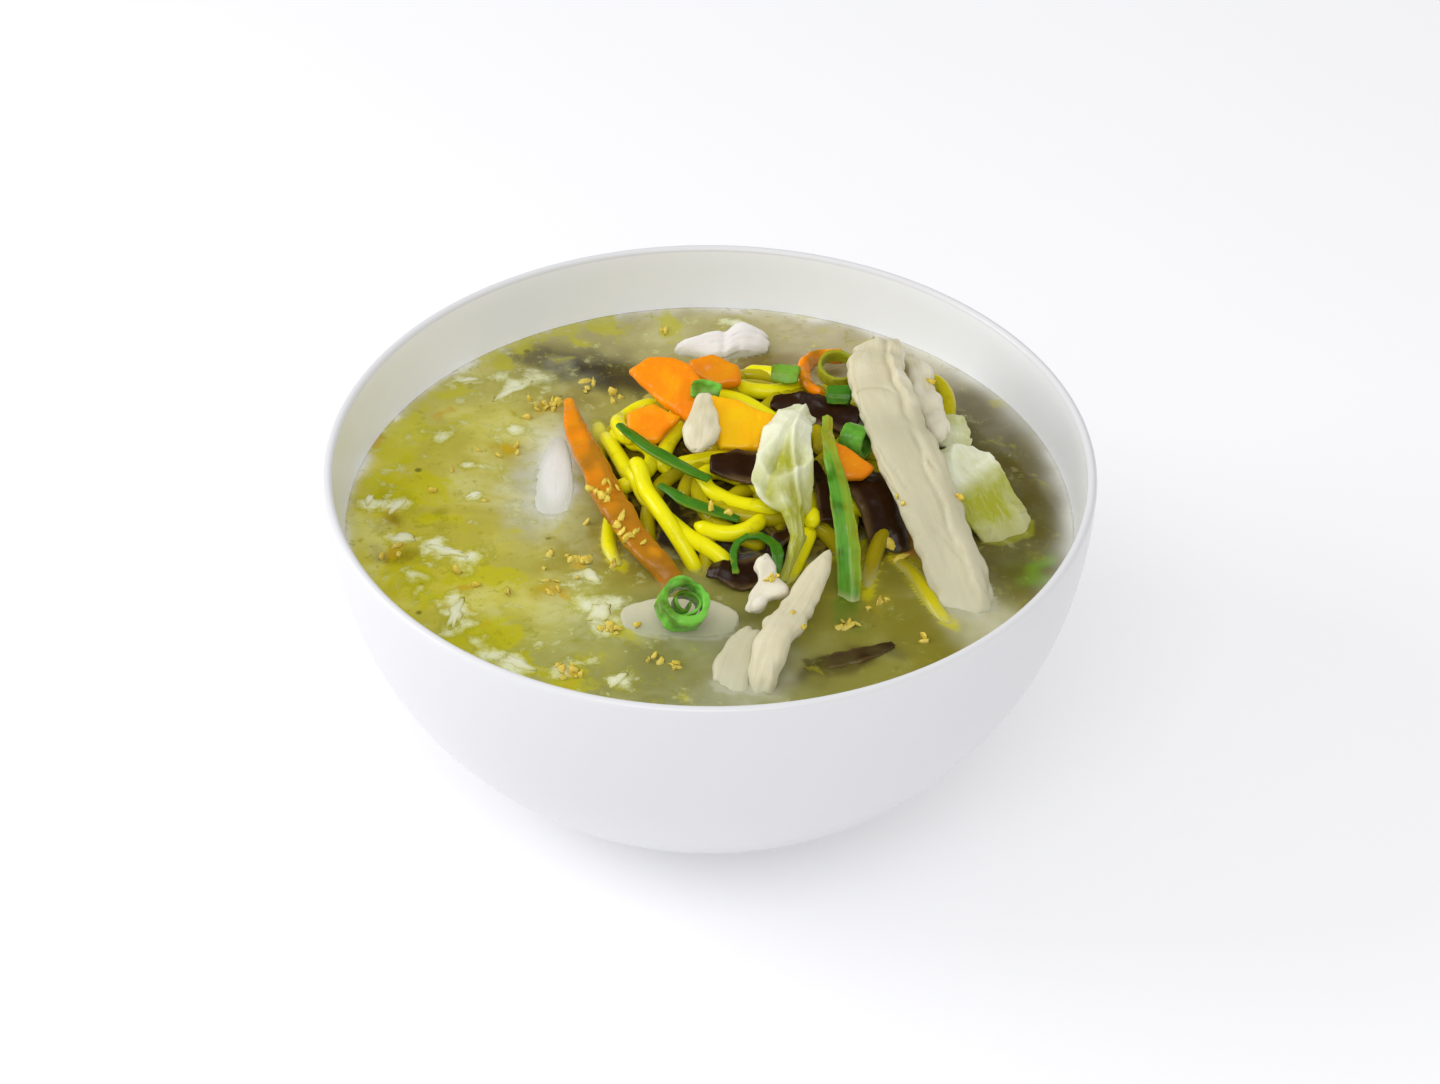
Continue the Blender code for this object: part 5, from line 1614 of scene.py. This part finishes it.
# Things that show dimly under the surface, as (x, y, long, short, bearing), colour and strength
SUNK = [
    ((-39, 56, 11, 5, -20), (0.10, 0.08, 0.05), 0.8),
    ((-27, 51, 12, 7, -15), (0.05, 0.04, 0.03), 1.0),
    ((-18, 47, 8, 5, -40), (0.05, 0.035, 0.02), 0.85),
    ((-33, 40, 6, 4, -20), (0.24, 0.16, 0.02), 0.7),
    ((-35, 12, 18, 7.0, 82), (0.62, 0.63, 0.52), 0.9),
    ((-32.5, 13, 14, 3.6, 86), (0.76, 0.77, 0.72), 1.0),
    ((-16, -36, 8, 3.5, 0), (0.42, 0.41, 0.26), 0.4),
    ((1, -40, 7, 4, 0), (0.42, 0.41, 0.26), 0.5),
    ((67, -19, 5.5, 3, 60), (0.15, 0.30, 0.02), 0.8),
    ((40, -9, 8, 3, -75), (0.45, 0.14, 0.008), 0.85),
    ((33, -20, 11, 1.8, -84), (0.36, 0.30, 0.015), 0.8),
    ((27, 52, 6, 4.5, 0), (0.13, 0.085, 0.012), 0.9),
    ((10, 55, 12, 4.5, -6), (0.16, 0.10, 0.014), 0.85),
    ((45, -24, 13, 1.8, -62), (0.45, 0.40, 0.01), 0.8),
    ((28, -27, 9, 2.2, -88), (0.10, 0.20, 0.02), 0.8),
    ((26, -49, 12, 2.8, 24), (0.07, 0.055, 0.02), 0.9),
    ((2, -60, 10, 5, 20), (0.36, 0.36, 0.22), 0.25),
    ((57, -38, 12, 7, -62), (0.55, 0.53, 0.36), 0.9),
    ((9, -52, 9, 7, 60), (0.52, 0.51, 0.37), 0.7),
    ((-65, -16, 5, 2.4, -15), (0.16, 0.10, 0.002), 0.9),
    ((-71.5, 24, 2.4, 2, 0), (0.22, 0.15, 0.01), 0.7),
    ((-70, 6, 4, 3, 80), (0.26, 0.235, 0.002), 0.7),
    ((-44, 21, 3.6, 3, 0), (0.42, 0.31, 0.002), 0.85),
    ((-32, -27, 3.6, 2.8, 0), (0.42, 0.32, 0.01), 0.8),
    ((-67, -5, 2.8, 2.2, 0), (0.24, 0.17, 0.003), 0.85),
    ((-57, -3.5, 2.6, 2.2, 0), (0.30, 0.28, 0.004), 0.7),
    ((-43, -41, 8, 6, -10), (0.28, 0.27, 0.015), 0.7),
]


def broth_tint(places):
    """Blend the broth's tints, with their painted shade and reflection, over places (x, y), their borders
    broken up by swirls.
    """
    drift = swirl(places, 15.0, 11)
    drift += 0.5 * swirl(places, 5.0, 13)
    moved = places + 5.0 * drift
    total = np.zeros((len(places), 3))
    weights = np.zeros(len(places))
    for (x, y, reach), colour in BROTH_TINTS_AND_SHADE:
        weight = np.exp(-((moved[:, 0] - x) ** 2 + (moved[:, 1] - y) ** 2) / (2 * reach ** 2)) + 1e-6
        total += weight[:, None] * np.array(colour)
        weights += weight
    return 1.15 * total / weights[:, None]


def add_sunk(places, colours):
    """Shade in what lies dimly under the surface."""
    drift = places + 1.6 * swirl(places, 4.0, 21)
    for (x, y, long, short, bearing), colour, strength in SUNK:
        turn = math.radians(bearing)
        dx, dy = drift[:, 0] - x, drift[:, 1] - y
        along = (dx * math.cos(turn) + dy * math.sin(turn)) / long
        across = (dy * math.cos(turn) - dx * math.sin(turn)) / short
        weight = strength * np.exp(-(along ** 2 + across ** 2) ** 1.5 * 0.7)
        colours += weight[:, None] * (np.array(colour) - colours)
    return colours


def seen_under(places, colours, clearness=2.6):
    """Shade in the sunk parts of the noodles and toppings, fainter the deeper they lie."""
    settings = bpy.context.scene.soup_topping
    kinds = {"noodle": bpy.context.scene.soup_noodle.bright, "chicken": CHICKEN_UNDER,
             "carrot": settings.carrot, "cabbage": settings.cabbage_green,
             "mushroom": settings.mushroom, "scallion": settings.scallion}
    down = Vector((0.0, 0.0, -1.0))
    for kind, colour in kinds.items():
        tree = search_tree(pieces_in(kind))
        for k, (x, y) in enumerate(places):
            start = Vector((x, y, SOUP_LEVEL + 0.02)) * MM
            hit, _, _, depth = tree.ray_cast(start, down, DEEPEST_SEEN * MM)
            if hit is not None:
                share = 0.8 * math.exp(-depth / MM / clearness)
                colours[k] += share * (np.array(colour) * 0.8 - colours[k])
    return colours


def wall_through(places, edge, colours):
    """Let the white wall show through the thin broth along the edge."""
    gap = edge - np.hypot(places[:, 0], places[:, 1]) + 0.8 * waves(places, 7.0, 41)
    reach = 1.2 + 0.9 * ease(places[:, 1], 30.0, 70.0) + 1.4 * ease(places[:, 0], 20.0, 60.0)
    share = 0.92 * np.exp(-(np.maximum(gap, 0.0) / reach) ** 1.4)
    return colours + share[:, None] * (np.array(WALL_SEEN) - colours)


def spread_over(places, spots):
    """Give a number that is high round spots of (x, y, reach)."""
    total = np.zeros(len(places))
    moved = places + 1.8 * swirl(places, 5.0, 51)
    for x, y, reach in spots:
        away = ((moved[:, 0] - x) ** 2 + (moved[:, 1] - y) ** 2) / reach ** 2
        total = np.maximum(total, np.exp(-away))
    return total


def surface_rise(places, edge, meniscus):
    """Give how far the surface stands over the soup's level: at the wall and round what dips in."""
    rise = meniscus * np.exp(-(edge - np.hypot(places[:, 0], places[:, 1])) / 0.9)
    rise += 0.05 * waves(places, 9.0, 31) + 0.02 * waves(places, 3.0, 32)
    tree = search_tree(pieces_in(*TOPPINGS, "noodle"))
    for k, (x, y) in enumerate(places):
        near = tree.find_nearest(Vector((x, y, SOUP_LEVEL)) * MM, 2.5 * MM)
        if near[0] is not None:
            rise[k] += 0.28 * math.exp(-near[3] / MM / 0.7)
    return rise


def ring_faces(steps, rings, last):
    """List the faces over rings of points that lie between a first and a last point."""
    faces = []
    for k in range(steps):
        after = (k + 1) % steps
        faces.append((0, 1 + k, 1 + after))
        for ring in range(rings - 1):
            a, b = 1 + ring * steps, 1 + (ring + 1) * steps
            faces.append((a + k, b + k, b + after, a + after))
        faces.append((last, last - steps + after, last - steps + k))
    return faces


def broth_mesh(settings):
    """Make the broth: a fine surface on a body that follows the bowl's inner wall."""
    steps = settings.steps
    edge = inner_radius(SOUP_LEVEL) + OVERLAP
    fine = np.linspace(FIRST_FINE_RING, edge, int((edge - FIRST_FINE_RING) / settings.pitch))
    radii = [*MIDDLE_RINGS, *fine]
    turns = np.arange(steps) * 2 * math.pi / steps
    circle = np.column_stack([np.cos(turns), np.sin(turns)])
    places = np.vstack([[[0.0, 0.0]]] + [radius * circle for radius in radii])
    body = []
    for k in range(1, RINGS_BELOW + 1):
        turn = 0.5 * math.pi * k / (RINGS_BELOW + 1)
        z = FLOOR_HEIGHT + (SOUP_LEVEL - FLOOR_HEIGHT) * math.cos(turn)
        body.append(np.column_stack([(inner_radius(z) + OVERLAP) * circle, np.full(steps, z)]))
    top = np.column_stack([places, SOUP_LEVEL + surface_rise(places, edge, settings.meniscus)])
    points = np.vstack([top, *body, [[0.0, 0.0, FLOOR_HEIGHT - OVERLAP]]])
    mesh = mesh_of(points, ring_faces(steps, len(radii) + len(body), len(points) - 1), "broth")
    tint = seen_under(places, add_sunk(places, broth_tint(places)))
    colours = np.full((len(points), 3), UNSEEN_TINT)
    colours[:len(top)] = wall_through(places, edge, tint)
    carry_colour(mesh, "tint", colours)
    left = ease(-places[:, 0] - 0.25 * places[:, 1], 8.0, 30.0)
    back = ease(places[:, 1], 45.0, 60.0) * 0.8
    numbers = {"curd": spread_over(places, CURDS), "oily": spread_over(places, OILY),
               "ochre": spread_over(places, OCHRE),
               "cloudy": np.clip(0.22 + 0.78 * np.maximum(left, back), 0.0, 1.0)}
    for label, values in numbers.items():
        carry(mesh, label, np.pad(values, (0, len(points) - len(top))))
    return mesh


class SOUP_OT_broth(bpy.types.Operator):
    """Pour the broth round everything that stands in it"""

    bl_idname = "soup.broth"
    bl_label = "Broth"

    def execute(self, context):
        mesh = broth_mesh(context.scene.soup_broth)
        add_piece("broth_finished", mesh, "broth", ["broth"], broth_finish())
        return {"FINISHED"}


# Garlic and egg

# Clusters of crisp garlic, as (x, y, spread) and how many
GARLIC = [(-36, 37, 5, 13), (-27, 44, 3, 4), (-21, 40, 3, 3), (-22, -4, 4, 9), (-16, -14, 4, 10),
          (-29, -18, 5, 9), (-27, -53, 4, 7), (-9, -48, 4, 6), (12, -32, 3, 4), (27, -37, 3, 5),
          (17, -43, 2, 2), (-19, -39, 4, 7), (3, -11, 2, 2), (35, -31, 3, 4), (42, -39, 2, 2),
          (38, -13, 4, 4), (51, -11, 1, 1), (47, 31, 1, 1), (-12, 67, 1, 2), (-65, -14, 3, 4),
          (-44, 21, 3, 3), (-32, -26, 3, 4), (-58, 10, 14, 5), (-48, -26, 10, 4)]
# Golden crumbs in the surface, as (x, y, reach)
OCHRE = [(-65, -14, 3.2), (-72, 23, 2.2), (-44, 21, 2.8), (-32, -26, 3.2), (-67, -2, 2.6), (-36, 37, 4),
         (-27, -53, 3), (-50, -27, 2), (-20, -2, 3), (-28, -18, 3), (-45, -38, 2), (-58, 34, 2)]
# Yellow oil in the surface, as (x, y, reach)
OILY = [(-64, 7, 7), (-68, 20, 6), (-66, 29, 5), (-50, -22, 5), (-45, -41, 7), (-57, -3, 3), (-62, -21, 6),
        (-17, -38, 4), (-57, 42, 4), (-27, -54, 5), (-57, -29, 5), (-44, -22, 5), (-26, 70, 5),
        (-33, 66, 5), (-43, 64, 5), (-70, 8, 4), (-37, -50, 4), (-48, 55, 4), (-10, 69, 4)]
# Curds of egg in the surface, as (x, y, reach)
CURDS = [(-66, 0, 3.5), (-64, -10, 3.2), (-50, 4, 2.6), (-51, 15, 2.4), (-56, -13, 3.4), (-50, -17, 4.4),
         (-51, -31, 3), (-50, -37, 3.4), (-25, -22, 3), (-22, -30, 4.8), (-21, -38, 3.5), (-44, 45, 3),
         (-39, 47, 3.5), (-54, 47, 3), (-38, -49, 4), (-30, -51, 3.5), (-18, -54, 3.5), (-71, 3, 2),
         (-41, 29, 2), (-60, -24, 3), (-44, -46, 3), (-60, 26, 2.4), (4, 70, 2.5)]
# Flakes of set egg that stand out of the surface, as (x, y), bearing, length and width
EGG = [((-66, 1), 60, 6, 2.6), ((-64, -10), 10, 6, 3.4), ((-50, 5), 30, 4, 2.4), ((-54, -14), -22, 9, 3),
       ((-51, -34), 82, 9, 3), ((-24, -22), -60, 6, 3), ((-22, -33), 70, 8, 4.4), ((-44, 43), 38, 11, 2.4),
       ((-38, -49), -30, 8, 3), ((-18, -54), 50, 5, 3), ((-54, 47), 12, 7, 2), ((-72, 3), 85, 4, 2)]


def flake(centre, bearing, length, width, seed):
    """Make one ragged flake of egg, thin at its edge, as points and faces in millimetres."""
    turns = np.arange(FLAKE_SPOKES) * 2 * math.pi / FLAKE_SPOKES
    circle = np.column_stack([np.cos(turns), np.sin(turns)])
    edge = 1.0 + 0.33 * waves(circle, 0.55, seed)
    heading = math.radians(bearing)
    ahead = np.array([math.cos(heading), math.sin(heading)])
    aside = np.array([-math.sin(heading), math.cos(heading)])
    points, thin = [], []
    for side in (1, -1):
        for ring in range(FLAKE_RINGS):
            share = (ring + 1) / FLAKE_RINGS
            x = 0.5 * length * share * edge * circle[:, 0]
            y = 0.5 * width * share * edge * circle[:, 1]
            bulge = side * FLAKE_HALF_THICKNESS * math.sqrt(max(1 - share ** 2, 0.0)) - 0.10
            lift = 0.16 * waves(np.column_stack([x, y]), 2.2, seed + 1)
            places = np.array(centre) + np.outer(x, ahead) + np.outer(y, aside)
            points += np.column_stack([places, SOUP_LEVEL + (bulge + lift)]).tolist()
            thin += [share ** 3] * FLAKE_SPOKES
    points.append((*centre, SOUP_LEVEL + 0.32))
    points.append((*centre, SOUP_LEVEL - 0.5))
    thin += [0.0, 0.0]
    faces = []
    under = FLAKE_RINGS * FLAKE_SPOKES
    rim = under - FLAKE_SPOKES
    for k in range(FLAKE_SPOKES):
        after = (k + 1) % FLAKE_SPOKES
        faces.append((2 * under, k, after))
        faces.append((2 * under + 1, under + after, under + k))
        for a in range(0, rim, FLAKE_SPOKES):
            b = a + FLAKE_SPOKES
            faces.append((a + k, b + k, b + after, a + after))
            faces.append((under + a + after, under + b + after, under + b + k, under + a + k))
        points[under + rim + k] = points[rim + k]
    return points, faces, thin


class SOUP_OT_egg(bpy.types.Operator):
    """Float the flakes of set egg in the broth's surface"""

    bl_idname = "soup.egg"
    bl_label = "Egg flakes"

    def execute(self, context):
        points, faces, thin = [], [], []
        for k, (centre, bearing, length, width) in enumerate(EGG):
            own, own_faces, own_thin = flake(centre, bearing, length, width, EGG_SEED + 3 * k)
            start = len(points)
            points += own
            faces += [tuple(start + corner for corner in face) for face in own_faces]
            thin += own_thin
        mesh = mesh_of(points, faces, "egg")
        carry(mesh, "edge", thin)
        add_piece("egg_flakes", facing_out(mesh), "broth", look=egg_finish())
        return {"FINISHED"}


def chip_pattern(look):
    """Build the tree that sets an uneven chip of garlic on each point."""
    pattern = Pattern("garlic chips", Size=CHIP_SIZE * MM, Seed=SEED)
    given = pattern.given.outputs
    chip = pattern.node("GeometryNodeMeshIcoSphere", None, {"Radius": given["Size"], "Subdivisions": 2})
    noise = pattern.node("ShaderNodeTexNoise", None, {"Scale": 900.0, "Detail": 1.0})
    centred = pattern.node("ShaderNodeVectorMath", {"operation": "SUBTRACT"},
                           {0: noise.outputs[1], 1: (0.5, 0.5, 0.5)})
    offset = pattern.node("ShaderNodeVectorMath", {"operation": "SCALE"},
                          {0: centred.outputs[0], "Scale": 2.2 * MM})
    lumpy = pattern.node("GeometryNodeSetPosition", None,
                         {"Geometry": chip.outputs[0], "Offset": offset.outputs[0]})
    turn = pattern.node("FunctionNodeRandomValue", {"data_type": "FLOAT_VECTOR"},
                        {0: (0.0, 0.0, 0.0), 1: (6.28, 6.28, 6.28), "Seed": given["Seed"]})
    scale = pattern.node("FunctionNodeRandomValue", {"data_type": "FLOAT_VECTOR"},
                         {0: (0.35, 0.40, 0.20), 1: (1.75, 1.15, 0.60), "Seed": given["Seed"]})
    chips = pattern.node("GeometryNodeInstanceOnPoints", None,
                         {"Points": given["Geometry"], "Instance": lumpy.outputs[0],
                          "Rotation": turn.outputs[0], "Scale": scale.outputs[0]})
    pattern.end(chips.outputs[0], look)
    return pattern


class SOUP_OT_garlic(bpy.types.Operator):
    """Scatter the crisp garlic over the broth and the toppings"""

    bl_idname = "soup.garlic"
    bl_label = "Garlic"

    def execute(self, context):
        draw = random.Random(SEED)
        tree = search_tree(pieces_in(*TOPPINGS, "noodle", "broth"))
        points = []
        for x0, y0, spread, count in GARLIC:
            for _ in range(count):
                x = draw.gauss(x0, 0.5 * spread)
                y = draw.gauss(y0, 0.5 * spread)
                top = top_at(tree, x, y)
                if top is not None and math.hypot(x, y) < CHIP_REACH:
                    points.append((x, y, top + 0.1))
        guide = bpy.data.meshes.new("guide")
        guide.from_pydata((np.array(points) * MM).tolist(), [], [])
        mesh = chip_pattern(garlic_finish()).mesh(guide)
        add_piece("garlic_bits", facing_out(mesh), "broth")
        return {"FINISHED"}


# Set


def aimed(thing, place, target, roll=0.0):
    """Place a light or the camera and turn it to a target, in millimetres."""
    place, target = Vector(place) * MM, Vector(target) * MM
    turn = (target - place).to_track_quat("-Z", "Y").to_matrix().to_4x4()
    thing.matrix_world = Matrix.Translation(place) @ turn @ Matrix.Rotation(roll, 4, "Z")
    bpy.context.scene.collection.objects.link(thing)


def area_light(name, place, width, height, power):
    """Hang a soft rectangular light that points at the bowl."""
    data = bpy.data.lights.new(name, "AREA")
    data.shape = "RECTANGLE"
    data.size = width * MM
    data.size_y = height * MM
    data.energy = power
    data.color = COOL
    aimed(bpy.data.objects.new(name, data), place, LIGHT_TARGET)


class SOUP_OT_stage(bpy.types.Operator):
    """Set the pale floor, the soft light and the camera"""

    bl_idname = "soup.stage"
    bl_label = "Stage"

    def execute(self, context):
        scene = context.scene
        settings = scene.soup_stage
        corners = [(HALF_FLOOR * x, HALF_FLOOR * y, 0.0) for x, y in ((-1, -1), (1, -1), (1, 1), (-1, 1))]
        floor = bpy.data.objects.new("floor", mesh_of(corners, [(0, 1, 2, 3)], "floor"))
        floor.data.materials.append(floor_finish())
        scene.collection.objects.link(floor)
        world = bpy.data.worlds.new("even light")
        world.use_nodes = True
        backdrop = world.node_tree.nodes["Background"]
        backdrop.inputs["Color"].default_value = (1.0, 1.0, 1.0, 1.0)
        backdrop.inputs["Strength"].default_value = settings.sky
        world.cycles_visibility.glossy = False
        scene.world = world
        for name, (place, width, height, share) in LIGHTS.items():
            area_light(name, place, width, height, share * settings.key)
        data = bpy.data.cameras.new("camera")
        data.lens = LENS
        data.sensor_width = 36.0
        data.clip_start = 0.01
        camera = bpy.data.objects.new("camera", data)
        forward = Vector((0.0, math.cos(LOOK_DOWN), -math.sin(LOOK_DOWN)))
        target = Vector(LOOK_AT)
        aimed(camera, target - forward * CAMERA_DISTANCE, target, CAMERA_ROLL)
        scene.camera = camera
        scene.view_settings.view_transform = "Standard"
        return {"FINISHED"}


# Add-on


OPERATORS = (SOUP_OT_stage, SOUP_OT_bowl, SOUP_OT_noodles, SOUP_OT_mushroom, SOUP_OT_carrot,
             SOUP_OT_cabbage, SOUP_OT_scallion, SOUP_OT_chicken, SOUP_OT_broth, SOUP_OT_egg,
             SOUP_OT_garlic)
SETTINGS = {"soup_bowl": SoupBowlSettings, "soup_broth": SoupBrothSettings,
            "soup_noodle": SoupNoodleSettings, "soup_topping": SoupToppingSettings,
            "soup_stage": SoupStageSettings}


class SOUP_PT_panel(bpy.types.Panel):
    """The bowl of soup's settings and makers"""

    bl_idname = "SOUP_PT_panel"
    bl_label = "Chicken noodle soup"
    bl_space_type = "VIEW_3D"
    bl_region_type = "UI"
    bl_category = "Soup"

    def draw(self, context):
        for label, group in SETTINGS.items():
            box = self.layout.box()
            box.label(text=group.__doc__)
            for name in group.__annotations__:
                box.prop(getattr(context.scene, label), name)
        for operator in OPERATORS:
            self.layout.operator(operator.bl_idname)


def register():
    for group in SETTINGS.values():
        bpy.utils.register_class(group)
    for operator in OPERATORS:
        bpy.utils.register_class(operator)
    bpy.utils.register_class(SOUP_PT_panel)
    for label, group in SETTINGS.items():
        setattr(bpy.types.Scene, label, PointerProperty(type=group))


def unregister():
    for label in SETTINGS:
        delattr(bpy.types.Scene, label)
    bpy.utils.unregister_class(SOUP_PT_panel)
    for operator in reversed(OPERATORS):
        bpy.utils.unregister_class(operator)
    for group in reversed(list(SETTINGS.values())):
        bpy.utils.unregister_class(group)


def main():
    register()
    for operator in OPERATORS:
        family, name = operator.bl_idname.split(".")
        getattr(getattr(bpy.ops, family), name)()


if __name__ == "__main__":
    main()
